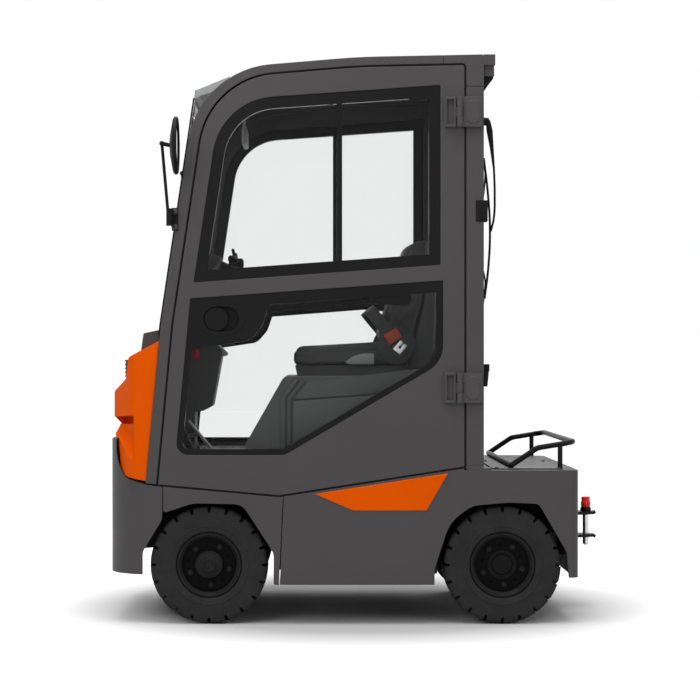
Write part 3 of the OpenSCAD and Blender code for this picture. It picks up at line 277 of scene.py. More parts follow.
finishes["windowGlass"] = windowGlass(dict(tint=(0.905, 0.912, 0.908), ior=1.17, smear=0.004, shade=0.75))
finishes["seatVinyl"] = seatVinyl(dict(cells=420.0, dark=(0.038, 0.038, 0.039), light=(0.058, 0.058, 0.059),
                                       crease=(0.01, 0.01, 0.01)))
finishes["beltWebbing"] = beltWebbing(dict(ribs=180.0, dark=(0.012, 0.012, 0.012), light=(0.03, 0.03, 0.031)))
finishes["redLens"] = lampLens("redLens", (0.5, 0.006, 0.005))
finishes["clearLens"] = lampLens("clearLens", (0.62, 0.64, 0.66))

nodeFinish = {
    "bodyPaint": ["front_bumper", "front_fenders", "rear_body", "deck_cover", "cab_side_left",
                  "cab_side_right", "front_wall", "rear_wall", "roof", "hinge_posts", "door_left",
                  "door_right"],
    "orangePaint": ["hood", "accent_panels"],
    "blackMetal": ["frame", "front_axle", "rear_axle", "luggage_rail", "tow_coupling", "knuckle_left",
                   "knuckle_right", "tie_rod"],
    "wheelPaint": ["rim_front_left", "rim_front_right", "rim_rear_left", "rim_rear_right"],
    "blackPlastic": ["rear_wiper", "work_lamp", "steering_wheel", "mirrors", "door_trim_left",
                     "door_trim_right"],
    "cabLining": ["dashboard", "seat_base"],
    "seatVinyl": ["seat_cushion", "seat_back"],
    "greyPlastic": ["cowl"],
    "tyreRubber": ["tyre_front_left", "tyre_front_right", "tyre_rear_left", "tyre_rear_right"],
    "matRubber": ["cab_floor", "pedals"],
    "zincSteel": ["tow_pin"],
    "redLens": ["tail_lamps"],
    "clearLens": ["headlamps"],
    "palePanel": ["roof_visor"],
    "batteryCase": ["battery"],
    "windowGlass": ["windscreen", "rear_window", "door_glass_left", "door_glass_right"],
}


def wear(obj, finishName):
    obj.data.materials.clear()
    obj.data.materials.append(finishes[finishName])


for finishName, members in nodeFinish.items():
    for member in members:
        wear(nodes[member], finishName)
print("finishes on", sum(len(m) for m in nodeFinish.values()), "nodes")

# Workbench: the steps that shape every new piece


def clearSelection():
    bpy.ops.object.select_all(action="DESELECT")


def takeUp(obj):
    clearSelection()
    obj.select_set(True)
    bpy.context.view_layer.objects.active = obj


# Puts a piece's place into its mesh
def settle(obj):
    takeUp(obj)
    bpy.ops.object.transform_apply(location=True, rotation=True, scale=True)


def applyModifier(obj, kind, **settings):
    takeUp(obj)
    modifier = obj.modifiers.new(kind.lower(), kind)
    for key, value in settings.items():
        setattr(modifier, key, value)
    bpy.ops.object.modifier_apply(modifier=modifier.name)


def roundEdges(obj, width, segments=2, angle=30):
    applyModifier(obj, "BEVEL", width=width, segments=segments, limit_method="ANGLE",
                  angle_limit=math.radians(angle))


def smoothShade(obj, angle=35):
    takeUp(obj)
    bpy.ops.object.shade_smooth_by_angle(angle=math.radians(angle))


# Opens a mesh for editing, all of it selected
def openMesh(obj):
    takeUp(obj)
    bpy.ops.object.mode_set(mode="EDIT")
    bpy.ops.mesh.select_all(action="SELECT")


def closeMesh():
    bpy.ops.object.mode_set(mode="OBJECT")


# Merges loose points and turns the faces outwards
def tidyMesh(obj, distance=0.00002):
    openMesh(obj)
    bpy.ops.mesh.remove_doubles(threshold=distance)
    bpy.ops.mesh.normals_make_consistent(inside=False)
    closeMesh()


def slab(low, high, edge=0.002, segments=2):
    clearSelection()
    middle = [(a + b) / 2 for a, b in zip(low, high)]
    size = [b - a for a, b in zip(low, high)]
    bpy.ops.mesh.primitive_cube_add(size=1, location=middle, scale=size)
    obj = bpy.context.object
    settle(obj)
    roundEdges(obj, edge, segments)
    return obj


# An outline of (x, z) points, drawn out from y0 to y1
def outlinePlate(points, y0, y1, edge=0.0, segments=2):
    clearSelection()
    bpy.ops.mesh.primitive_circle_add(vertices=len(points), fill_type="NGON")
    obj = bpy.context.object
    for vert, (x, z) in zip(obj.data.vertices, points):
        vert.co = (x, y0, z)
    openMesh(obj)
    bpy.ops.mesh.extrude_region_move(TRANSFORM_OT_translate={"value": (0, y1 - y0, 0)})
    closeMesh()
    tidyMesh(obj)
    if edge:
        roundEdges(obj, edge, segments)
    return obj


# A profile of (radius, along) points turned round an axis through a point
def turned(profile, centre, axis, steps=32):
    clearSelection()
    bpy.ops.mesh.primitive_circle_add(vertices=len(profile), fill_type="NOTHING")
    obj = bpy.context.object
    along = Vector(axis).normalized()
    out = along.orthogonal().normalized()
    for vert, (radius, height) in zip(obj.data.vertices, profile):
        vert.co = Vector(centre) + out * radius + along * height
    openMesh(obj)
    bpy.ops.mesh.spin(steps=steps, angle=2 * math.pi, center=centre, axis=along)
    closeMesh()
    tidyMesh(obj)
    return obj


# A round bar along points
def bar(points, radius, sides=3, closed=False):
    clearSelection()
    bpy.ops.curve.primitive_bezier_curve_add()
    obj = bpy.context.object
    spline = obj.data.splines[0]
    spline.bezier_points.add(len(points) - 2)
    spline.use_cyclic_u = closed
    for knot, place in zip(spline.bezier_points, points):
        knot.co = place
        knot.handle_left_type = knot.handle_right_type = "AUTO"
    obj.data.bevel_depth = radius
    obj.data.bevel_resolution = sides
    obj.data.resolution_u = 2 if closed else 8
    obj.data.use_fill_caps = not closed
    bpy.ops.object.convert(target="MESH")
    obj = bpy.context.object
    settle(obj)
    tidyMesh(obj)
    return obj


# Copies of a master, each with its own mesh, set by matrices
def copies(master, places):
    made = []
    for place in places:
        copy = master.copy()
        copy.data = master.data.copy()
        copy.data.transform(place)
        bpy.context.scene.collection.objects.link(copy)
        made.append(copy)
    return made


# Copies that take their master's place
def spreadOut(master, places):
    made = copies(master, places)
    bpy.data.objects.remove(master)
    return made


def mirrored(obj):
    copy = copies(obj, [Matrix.Scale(-1, 4, (0, 1, 0))])[0]
    tidyMesh(copy)
    return copy


def pairOf(obj):
    return [obj, mirrored(obj)]


# A plate as its dictionary says
def plateFrom(look):
    return outlinePlate(look["outline"], *look["side"], look["edge"], look.get("segments", 2))


def joined(parts):
    clearSelection()
    for part in parts:
        part.select_set(True)
    bpy.context.view_layer.objects.active = parts[0]
    if len(parts) > 1:
        bpy.ops.object.join()
    return bpy.context.view_layer.objects.active


# Joins parts into one named piece that rides on a body, black plastic trim unless told otherwise
def finishPiece(name, parts, finishName="blackPlastic", rideOn="chassis",
                smooth=35):
    obj = joined(parts)
    obj.name = name
    obj.data.name = name
    settle(obj)
    smoothShade(obj, smooth)
    wear(obj, finishName)
    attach(obj, rideOn)
    return obj


# Left parts and their mirror images, one piece on each door
def doorPair(name, parts, finishName):
    rightParts = [mirrored(part) for part in parts]
    for side, sideParts in (("left", parts), ("right", rightParts)):
        finishPiece(f"{name}_{side}", sideParts, finishName, "door_" + side)


upright = (0, 0, 1)
rearwards = (-1, 0, 0)

# Tyres: one sector between two notches, set round the wheel

tyreShape = {
    "lugs": 20, "radius": 0.228, "treadAbove": 0.2, "weld": 0.0001,
    "notchDepth": 0.024, "shallow": 0.35, "deepen": 0.042, "plainHalf": 0.014, "slantHalf": 0.059,
    "slant": 5.0, "notchHalf": 1.4,  # degrees
    "columns": (0, 1.15, 1.75, 2.6, 4.5, 7.0, 9.0),  # degrees from a notch's middle to half a lug
    "outline": ((0.0, 0.228), (0.016, 0.228), (0.034, 0.2278), (0.05, 0.2274), (0.061, 0.2264),
                (0.068, 0.2246), (0.0725, 0.221), (0.0752, 0.216), (0.0764, 0.21), (0.077, 0.203),
                (0.0772, 0.19), (0.0772, 0.176), (0.0768, 0.162), (0.0764, 0.156), (0.0775, 0.1545),
                (0.0775, 0.1505), (0.0764, 0.149), (0.0756, 0.14), (0.0745, 0.133), (0.0725, 0.1285),
                (0.069, 0.1265), (0.0592, 0.1262), (0.059, 0.1134), (0.0, 0.1134)),
}


# How deep a notch is at a distance from the tyre's middle
def notchDepthAt(side, shape):
    if side < shape["plainHalf"]:
        return 0.0
    share = shape["shallow"] + (1 - shape["shallow"]) * (side - shape["plainHalf"]) / shape["deepen"]
    return shape["notchDepth"] * min(1.0, share)


def makeTyre(shape):
    pitch = 360 / shape["lugs"]
    half = shape["columns"]
    angles = list(half) + [pitch - a for a in reversed(half[:-1])]
    inNotch = [min(a, pitch - a) < shape["notchHalf"] for a in angles]
    loop = list(shape["outline"]) + [(-y, r) for y, r in reversed(shape["outline"][1:-1])]
    loop.append(loop[0])
    clearSelection()
    bpy.ops.mesh.primitive_grid_add(x_subdivisions=len(angles) - 1, y_subdivisions=len(loop) - 1, size=1)
    obj = bpy.context.object
    for vert in obj.data.vertices:
        column = round((vert.co.x + 0.5) * (len(angles) - 1))
        side, radius = loop[round((vert.co.y + 0.5) * (len(loop) - 1))]
        if inNotch[column]:
            radius = min(radius, shape["radius"] - notchDepthAt(abs(side), shape))
        inwards = max(0, shape["slantHalf"] - abs(side)) / shape["slantHalf"]
        slant = shape["slant"] * inwards if radius > shape["treadAbove"] else 0.0
        turn = math.radians(angles[column] + slant)
        vert.co = (radius * math.cos(turn), side, radius * math.sin(turn))
    bpy.ops.object.empty_add(rotation=(0, -math.radians(pitch), 0))
    turnMark = bpy.context.object
    applyModifier(obj, "ARRAY", count=shape["lugs"], use_relative_offset=False, use_object_offset=True,
                  offset_object=turnMark)
    bpy.data.objects.remove(turnMark)
    tidyMesh(obj, shape["weld"])
    return obj


wheelPlaces = {f"{end}_{side}": (x, y, body["axleHeight"])
               for end, x in (("front", body["frontAxle"]), ("rear", body["rearAxle"]))
               for side, y in (("left", body["wheelSide"]), ("right", -body["wheelSide"]))}
tyreCopies = spreadOut(makeTyre(tyreShape), [Matrix.Translation(p) for p in wheelPlaces.values()])
for wheelName, tyreCopy in zip(wheelPlaces, tyreCopies):
    tyrePiece = finishPiece("tyre_tread_" + wheelName, [tyreCopy], "tyreRubber",
                            "wheel_" + wheelName, 40)
    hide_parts("tyre_" + wheelName)
print("tyres set round", len(tyreCopies), "wheels")

# Seat: two stuffed vinyl pads, swollen by air, then sewn

seatPads = {
    "cushion": dict(
        node="seat_cushion", halfWidth=0.229, pinBelow=0.006, swell=0.012, rim=0.022,
        side=((-0.122, 1.0003), (0.268, 1.0003), (0.277, 1.062), (-0.085, 1.082), (-0.122, 1.082)),
        topAbove=1.06, flankBelow=1.075, along=0.15, across=(0.165, 0.03), flank=1.058),
    "back": dict(
        node="seat_back", halfWidth=0.22, pinBelow=0.01, swell=0.012, rim=0.024,
        side=((-0.192, 1.0003), (-0.134, 1.0003), (-0.134, 1.108), (-0.084, 1.108), (-0.202, 1.5),
              (-0.276, 1.518), (-0.256, 1.256)),
        face=(-0.075, 1.1), lean=0.285, faceDepth=0.045, along=0.15, across=(1.235, 1.375), edge=0.216),
    "pressure": 4.0, "voxel": 0.006, "frames": 20, "seamDepth": 0.0045, "seamWidth": 0.0055,
}


def swellPad(obj, look, pads):
    mesh = obj.data
    rest = [v.co.copy() for v in mesh.vertices]
    low = min(p.z for p in rest)
    held = obj.vertex_groups.new(name="held")
    held.add([v.index for v in mesh.vertices if v.co.z < low + look["pinBelow"]], 1.0, "REPLACE")
    takeUp(obj)
    cloth = obj.modifiers.new("stuffing", "CLOTH")
    cloth.settings.use_pressure = True
    cloth.settings.uniform_pressure_force = pads["pressure"]
    cloth.settings.vertex_group_mass = "held"
    cloth.settings.effector_weights.gravity = 0
    for step in range(1, pads["frames"] + 1):
        bpy.context.scene.frame_set(step)
    bpy.ops.object.modifier_apply(modifier=cloth.name)
    bpy.context.scene.frame_set(1)
    for vert, start in zip(obj.data.vertices, rest):
        moved = vert.co - start
        if moved.length > look["swell"]:
            vert.co = start + moved.normalized() * look["swell"]
        vert.co.z = max(vert.co.z, low)


def stuffedPad(look, pads):
    obj = outlinePlate(look["side"], -look["halfWidth"], look["halfWidth"], look["rim"], 4)
    obj.data.remesh_voxel_size = pads["voxel"]
    takeUp(obj)
    bpy.ops.object.voxel_remesh()
    swellPad(obj, look, pads)
    applyModifier(obj, "SUBSURF", levels=1, render_levels=1)
    return obj


# Presses seams into a pad: distances gives how far a point is from each seam
def sewSeams(obj, distances, look, pads):
    normals = [v.normal.copy() for v in obj.data.vertices]
    for vert, normal in zip(obj.data.vertices, normals):
        near = min(distances(vert.co, look))
        vert.co -= normal * pads["seamDepth"] * math.exp(-(near / pads["seamWidth"]) ** 2)


def cushionSeams(p, look):
    offTop = 0.0 if p.z > look["topAbove"] else 1.0
    offFlank = 0.0 if p.z < look["flankBelow"] else 1.0
    outside = max(0, abs(p.y) - look["along"])
    across = [abs(p.x - x) + offTop + outside for x in look["across"]]
    return [abs(abs(p.y) - look["along"]) + offTop, abs(p.z - look["flank"]) + offFlank] + across


def backSeams(p, look):
    faceX, faceZ = look["face"]
    offFace = 0.0 if p.x > faceX - look["lean"] * (p.z - faceZ) - look["faceDepth"] else 1.0
    outside = max(0, abs(p.y) - look["along"])
    across = [abs(p.z - z) + offFace + outside for z in look["across"]]
    return [abs(abs(p.y) - look["along"]) + offFace, abs(abs(p.y) - look["edge"])] + across


for padName, seams in (("cushion", cushionSeams), ("back", backSeams)):
    padLook = seatPads[padName]
    pad = stuffedPad(padLook, seatPads)
    sewSeams(pad, seams, padLook, seatPads)
    pad = finishPiece("seat_pad_" + padName, [pad], "seatVinyl", smooth=60)
    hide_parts(padLook["node"])
print("seat pads stuffed and sewn")


def ovalPoints(centre, radii, count=28):
    return [(centre[0] + radii[0] * math.cos(2 * math.pi * i / count),
             centre[1] + radii[1] * math.sin(2 * math.pi * i / count)) for i in range(count)]


# Seat fittings: wings at the hips, slide lever, belt, rear shell and rails

seatFittings = {
    "wing": dict(outline=ovalPoints((-0.145, 1.08), (0.078, 0.08)), side=(0.2445, 0.2585), edge=0.005,
                 segments=3),
    "lever": dict(outline=((-0.056, 1.002), (-0.056, 1.046), (-0.012, 1.046), (0.03, 1.034), (0.06, 1.012),
                           (0.05, 1.002)), side=(0.24, 0.248), edge=0.003, segments=3),
    "strap": dict(foot=(-0.13, 1.114), top=(-0.034, 1.226), width=0.05, thick=0.0016,  # (x, z)
                  arch=((0.265, -0.06), (0.266, 0.3), (0.256, 0.72), (0.22, 0.98), (0.15, 1.02),
                        (0.05, 0.94), (-0.05, 0.94), (-0.15, 1.02), (-0.22, 0.98), (-0.256, 0.72),
                        (-0.266, 0.3), (-0.265, -0.06))),  # (y, share of the way to the top)
    "buckle": dict(centre=(-0.13, 0.268, 1.114), size=(0.06, 0.02, 0.046), lean=32, edge=0.004),
    "tongue": dict(centre=(-0.16, 0.268, 1.07), halfLength=0.023, halfWidth=0.018, hole=0.0055, slit=0.002,
                   steps=12, thick=0.004, lean=50, edge=0.0008),
    "reel": dict(centre=(-0.14, -0.268, 1.1), size=(0.072, 0.018, 0.058), lean=32, edge=0.006),
    "shell": dict(outline=((-0.19, 0.984), (-0.268, 0.984), (-0.304, 1.062), (-0.309, 1.33),
                           (-0.296, 1.402), (-0.27, 1.402), (-0.262, 1.256), (-0.196, 1.0)),
                  side=(-0.205, 0.205), edge=0.012, segments=4),
    "rail": dict(low=(-0.185, 0.15, 0.9992), high=(0.255, 0.19, 1.02), edge=0.003),
}


# A flat strap standing in an arch from one hip to the other, leaning forwards
def beltArch(look):
    foot, top = Vector(look["foot"]), Vector(look["top"])
    rise = top - foot
    across = Vector((rise.y, -rise.x)).normalized() * look["width"] / 2
    rows = len(look["arch"])
    clearSelection()
    bpy.ops.mesh.primitive_grid_add(x_subdivisions=1, y_subdivisions=rows - 1, size=1)
    obj = bpy.context.object
    for vert in obj.data.vertices:
        y, share = look["arch"][round((vert.co.y + 0.5) * (rows - 1))]
        spot = foot + rise * share + across * (1 if vert.co.x > 0 else -1)
        vert.co = (spot.x, y, spot.y)
    applyModifier(obj, "SUBSURF", levels=3, render_levels=3)
    applyModifier(obj, "SOLIDIFY", thickness=look["thick"], offset=0.0)
    tidyMesh(obj)
    return obj


# A block turned about y at its middle
def leaningBlock(look):
    half = [s / 2 for s in look["size"]]
    obj = slab([-h for h in half], half, look["edge"], 3)
    obj.data.transform(Matrix.Translation(look["centre"])
                       @ Matrix.Rotation(math.radians(look["lean"]), 4, "Y"))
    return obj


# A plate with a keyhole open at its free end
def beltTongue(look):
    length, width, hole, slit = look["halfLength"], look["halfWidth"], look["hole"], look["slit"]
    start = math.asin(slit / hole)
    keyhole = []
    for i in range(look["steps"] + 1):
        turn = start + (2 * math.pi - 2 * start) * i / look["steps"]
        keyhole.append((hole * math.cos(turn), hole * math.sin(turn)))
    outline = [(-length, -width), (-length, width), (length, width), (length, slit)]
    outline += keyhole + [(length, -slit), (length, -width)]
    obj = outlinePlate(outline, -look["thick"] / 2, look["thick"] / 2, look["edge"])
    obj.data.transform(Matrix.Translation(look["centre"])
                       @ Matrix.Rotation(math.radians(look["lean"]), 4, "Y")
                       @ Matrix.Rotation(math.pi, 4, "Y"))
    return obj


finishPiece("seat_wings", pairOf(plateFrom(seatFittings["wing"])), "greyPlastic")
finishPiece("seat_lever", [plateFrom(seatFittings["lever"])], "leverPlastic")
finishPiece("belt_strap", [beltArch(seatFittings["strap"])], "beltWebbing")
finishPiece("belt_buckle", [leaningBlock(seatFittings["buckle"])], "buckleRed")
finishPiece("belt_reel", [leaningBlock(seatFittings["reel"])])
finishPiece("belt_tongue", [beltTongue(seatFittings["tongue"])], "zincSteel")
finishPiece("seat_shell", [plateFrom(seatFittings["shell"])], "cabLining")
railLook = seatFittings["rail"]
rail = slab(railLook["low"], railLook["high"], railLook["edge"])
finishPiece("seat_rails", pairOf(rail), "blackMetal")
print("seat fitted")

# Tow pin: steel pin, black collar and red knob

towPin = {
    "x": -0.941, "low": 0.255, "jawTop": 0.394,
    "pin": ((0, 0), (0.0075, 0), (0.0125, 0.0065), (0.0125, 0.146), (0, 0.146)),
    "collar": ((0, 0.0003), (0.0205, 0.0003), (0.022, 0.002), (0.022, 0.0143), (0.0205, 0.0163),
               (0, 0.0163)),
    "knob": ((0, 0.016), (0.0165, 0.016), (0.019, 0.019), (0.02, 0.03), (0.02, 0.037), (0.018, 0.041),
             (0.0165, 0.0455), (0.0178, 0.05), (0.0178, 0.0565), (0.015, 0.0595), (0, 0.06)),
}
pinFoot = (towPin["x"], 0, towPin["low"])
jawTop = (towPin["x"], 0, towPin["jawTop"])
shaft = turned(towPin["pin"], pinFoot, upright)
shaft = finishPiece("tow_pin_shaft", [shaft], "zincSteel", "tow_pin")
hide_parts("tow_pin")
collar = turned(towPin["collar"], jawTop, upright)
finishPiece("tow_pin_collar", [collar], "blackMetal", "tow_pin")
knob = turned(towPin["knob"], jawTop, upright)
finishPiece("tow_pin_knob", [knob], "redPlastic", "tow_pin", 50)

# Bolts: socket screws on the deck, hexagon heads on the coupling plate and the mirror arms

bolts = {
    "hexRadius": 0.0085, "hexHeight": 0.0055, "hexFoot": 0.0015, "hexEdge": 0.0008, "steps": 20,
    "washer": ((0, 0), (0.0115, 0), (0.0115, 0.0012), (0.0109, 0.0017), (0, 0.0017)),
    "screw": ((0, 0), (0.0075, 0), (0.0075, 0.0025), (0.006, 0.004), (0.0036, 0.0042), (0.0032, 0.0012),
              (0, 0.0012)),
    "deck": dict(x=(-0.765, -0.526), y=(0.5, -0.5, 0), z=0.6),
    "plate": dict(x=-0.849, y=(-0.092, 0.092), z=(0.232, 0.428)),
    "arm": dict(x=0.722, y=0.579, z=(1.532, 1.592)),
}


# Stands along z, its foot at the origin
def hexBolt(look):
    clearSelection()
    bpy.ops.mesh.primitive_cylinder_add(vertices=6, radius=look["hexRadius"], depth=look["hexHeight"],
                                        location=(0, 0, look["hexFoot"] + look["hexHeight"] / 2))
    head = bpy.context.object
    settle(head)
    roundEdges(head, look["hexEdge"])
    return joined([head, turned(look["washer"], (0, 0, 0), upright, look["steps"])])


# Turns something that stands along z to stand along another way, at a place
def standing(place, way):
    return Matrix.Translation(place) @ Vector(way).to_track_quat("Z", "Y").to_matrix().to_4x4()


deck, plate, arm = bolts["deck"], bolts["plate"], bolts["arm"]
screw = turned(bolts["screw"], (0, 0, 0), upright, bolts["steps"])
screwPlaces = [standing((x, y, deck["z"]), upright) for x in deck["x"] for y in deck["y"]]
finishPiece("socket_screws", spreadOut(screw, screwPlaces), "boltSteel")
hexPlaces = [standing((plate["x"], y, z), rearwards) for y in plate["y"] for z in plate["z"]]
hexPlaces += [standing((arm["x"], side * arm["y"], z), (0, side, 0)) for side in (1, -1) for z in arm["z"]]
finishPiece("hex_bolts", spreadOut(hexBolt(bolts), hexPlaces), "boltSteel")
print("bolts set")

# Lamps

headLamp = {
    "low": (0.9295, 0.2505, 0.8125), "high": (0.965, 0.3995, 0.8835), "edge": 0.0015, "wall": 0.006,
    "depth": 0.03, "facing": 0.99, "bowls": (0.288, 0.362), "bowlX": 0.933, "bowlZ": 0.848,
    "bowl": ((0, 0.004), (0.01, 0.004), (0.024, 0.012), (0.0325, 0.027), (0.0335, 0.027), (0.0335, 0.03),
             (0.03, 0.03), (0.022, 0.016), (0.009, 0.008), (0, 0.0075)),
    "coverLow": (0.9635, 0.2545, 0.8165), "coverHigh": (0.9665, 0.3955, 0.8795), "coverEdge": 0.001,
}
tailLamp = {
    "spots": ((0.455, 0.5), (0.455, 0.42)), "steps": 40,
    "bezel": ((0, 0), (0.036, 0), (0.036, 0.0035), (0.0345, 0.005), (0.031, 0.005), (0.03, 0.003),
              (0, 0.003)),
    "lens": ((0, 0.0025), (0.0298, 0.0025), (0.0298, 0.0045), (0.027, 0.0068), (0.02, 0.0076),
             (0.019, 0.007), (0.011, 0.008), (0.01, 0.0074), (0, 0.0082)),
}


# A tray open to the front
def headlampTray(look):
    tray = slab(look["low"], look["high"], look["edge"])
    takeUp(tray)
    bpy.ops.object.mode_set(mode="EDIT")
    bpy.ops.mesh.select_mode(type="FACE")
    bpy.ops.mesh.select_all(action="DESELECT")
    closeMesh()
    for face in tray.data.polygons:
        face.select = face.normal.x > look["facing"]
    bpy.ops.object.mode_set(mode="EDIT")
    bpy.ops.mesh.inset(thickness=look["wall"])
    bpy.ops.mesh.extrude_region_move(TRANSFORM_OT_translate={"value": (-look["depth"], 0, 0)})
    closeMesh()
    return tray


trayPiece = finishPiece("headlamp_trays", pairOf(headlampTray(headLamp)))
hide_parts("headlamps")
bowlSet = [turned(headLamp["bowl"], (headLamp["bowlX"], side * y, headLamp["bowlZ"]), (1, 0, 0))
           for y in headLamp["bowls"] for side in (1, -1)]
finishPiece("headlamp_bowls", bowlSet, "mirrorSilver", smooth=50)
lensCover = slab(headLamp["coverLow"], headLamp["coverHigh"], headLamp["coverEdge"])
finishPiece("headlamp_covers", pairOf(lensCover), "windowGlass")
tailSpots = [(body["rear"], side * y, z) for y, z in tailLamp["spots"] for side in (1, -1)]
bezels = [turned(tailLamp["bezel"], p, rearwards, tailLamp["steps"]) for p in tailSpots]
finishPiece("tail_lamp_bezels", bezels)
lenses = [turned(tailLamp["lens"], p, rearwards, tailLamp["steps"]) for p in tailSpots]
lenses = finishPiece("tail_lamp_lenses", lenses, "redLens")
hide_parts("tail_lamps")
print("lamps set")

# Nose: slats and posts over the dark grille

grille = {"x": (0.92, 0.929), "halfWidth": 0.427, "low": 0.9565, "high": 1.0185, "slats": 5,
          "thick": 0.0045, "edge": 0.0012, "posts": (-0.4, -0.2, 0.0, 0.2, 0.4), "postHalf": 0.004,
          "postFront": 0.926, "postEdge": 0.001}


def grilleParts(look):
    back, front = look["x"]
    half = look["thick"] / 2
    step = (look["high"] - look["low"]) / (look["slats"] - 1)
    parts = []
    for z in [look["low"] + i * step for i in range(look["slats"])]:
        parts.append(slab((back, -look["halfWidth"], z - half), (front, look["halfWidth"], z + half),
                          look["edge"]))
    for y in look["posts"]:
        parts.append(slab((back, y - look["postHalf"], look["low"]),
                          (look["postFront"], y + look["postHalf"], look["high"]), look["postEdge"]))
    return parts


finishPiece("grille_slats", grilleParts(grille))

# Windscreen: black printed border

screen = {"low": 1.118, "kink": 1.155, "high": 2.03, "halfWidth": 0.566, "foot": 0.835, "footZ": 0.541,
          "kinkRun": 0.058, "kinkSlope": 0.0945, "lean": 0.149, "glass": 0.0063, "band": 0.052,
          "print": 0.0008}


# Front face of the glass at a height
def screenFace(z, look):
    if z < look["kink"]:
        return look["foot"] - look["kinkSlope"] * (z - look["footZ"]) + look["glass"]
    return look["foot"] - look["kinkRun"] - look["lean"] * (z - look["kink"]) + look["glass"]


def screenBorder(look):
    clearSelection()
    middle = (look["low"] + look["high"]) / 2
    bpy.ops.mesh.primitive_plane_add(size=1, location=(0, 0, middle), rotation=(0, math.pi / 2, 0),
                                     scale=(look["high"] - look["low"], 2 * look["halfWidth"], 1))
    obj = bpy.context.object
    settle(obj)
    openMesh(obj)
    bpy.ops.mesh.inset(thickness=look["band"])
    bpy.ops.mesh.delete(type="FACE")
    bpy.ops.mesh.select_all(action="SELECT")
    bpy.ops.mesh.bisect(plane_co=(0, 0, look["kink"]), plane_no=upright)
    closeMesh()
    for vert in obj.data.vertices:
        vert.co.x = screenFace(vert.co.z, look) + look["print"] / 2
    applyModifier(obj, "SOLIDIFY", thickness=look["print"], offset=0.0)
    tidyMesh(obj)
    return obj


finishPiece("screen_border", [screenBorder(screen)])

# Round mirrors: rims and glass

roundMirror = {
    "place": (0.714, 0.615, 1.842), "steps": 48,
    "glass": ((0, 0.0022), (0.06, 0.0018), (0.098, 0.0008), (0.1, 0), (0, 0)),
    "rim": ((0.099, 0), (0.099, 0.005), (0.101, 0.0068), (0.106, 0.0066), (0.1105, 0.003),
            (0.1115, -0.004), (0.108, -0.004)),
}
mirrorRim = turned(roundMirror["rim"], roundMirror["place"], rearwards, roundMirror["steps"])
finishPiece("mirror_rims", pairOf(mirrorRim), smooth=50)
mirrorGlass = turned(roundMirror["glass"], roundMirror["place"], rearwards, roundMirror["steps"])
finishPiece("mirror_glasses", pairOf(mirrorGlass), "mirrorSilver", smooth=60)

# Cab fittings: inside mirror, column levers, stop button, display and floor mat

cabMirror = {"low": (0.458, -0.11, 1.902), "high": (0.48, 0.11, 1.974), "edge": 0.008,
             "stem": ((0.474, 0, 1.96), (0.47, 0, 2.03), (0.44, 0, 2.1)), "stemRadius": 0.007}
mirrorParts = [slab(cabMirror["low"], cabMirror["high"], cabMirror["edge"], 3),
               bar(cabMirror["stem"], cabMirror["stemRadius"])]
finishPiece("cab_mirror", mirrorParts, "leverPlastic")
column = {"low": (0.476, -0.055, 1.402), "high": (0.536, 0.055, 1.438), "edge": 0.008,
          "stalk": ((0.5, 0.05, 1.424), (0.508, 0.12, 1.44), (0.514, 0.17, 1.466)), "radius": 0.0065}
columnParts = [slab(column["low"], column["high"], column["edge"], 3)]
for side in (1, -1):
    columnParts.append(bar([(x, side * y, z) for x, y, z in column["stalk"]], column["radius"]))
finishPiece("column_levers", columnParts)
stopButton = {"place": (0.671, 0.095, 1.044), "profile": ((0, 0), (0.013, 0), (0.013, 0.01), (0.021, 0.013),
                                                          (0.022, 0.019), (0.018, 0.024), (0, 0.026))}
button = turned(stopButton["profile"], stopButton["place"], (0, 1, 0))
finishPiece("stop_button", [button], "redPlastic", smooth=50)
display = {"outline": ((0.54, 1.046), (0.552, 1.034), (0.61, 1.074), (0.604, 1.092), (0.59, 1.096)),
           "side": (-0.085, 0.085), "edge": 0.003}
finishPiece("display_pod", [plateFrom(display)], "leverPlastic")
floorMat = {"low": (0.45, -0.47, 0.64), "high": (0.735, 0.47, 0.643), "edge": 0.001, "ribs": 15,
            "ribRun": 0.255, "ribLow": (0.462, -0.455, 0.642), "ribHigh": (0.468, 0.455, 0.6455)}
matParts = [slab(floorMat["low"], floorMat["high"], floorMat["edge"])]
for i in range(floorMat["ribs"]):
    along = Vector((floorMat["ribRun"] * i / (floorMat["ribs"] - 1), 0, 0))
    matParts.append(slab(Vector(floorMat["ribLow"]) + along, Vector(floorMat["ribHigh"]) + along,
                         floorMat["edge"]))
finishPiece("floor_mat_ribs", matParts, "matRubber")

# Latches on the rear pillars

latch = {"low": (-0.483, 0.53, 1.553), "high": (-0.437, 0.579, 1.636), "edge": 0.004}
latchBlock = slab(latch["low"], latch["high"], latch["edge"], 3)
finishPiece("pillar_latches", pairOf(latchBlock))

# Wiper: spindle, tapered arm, and a sprung blade with its claws

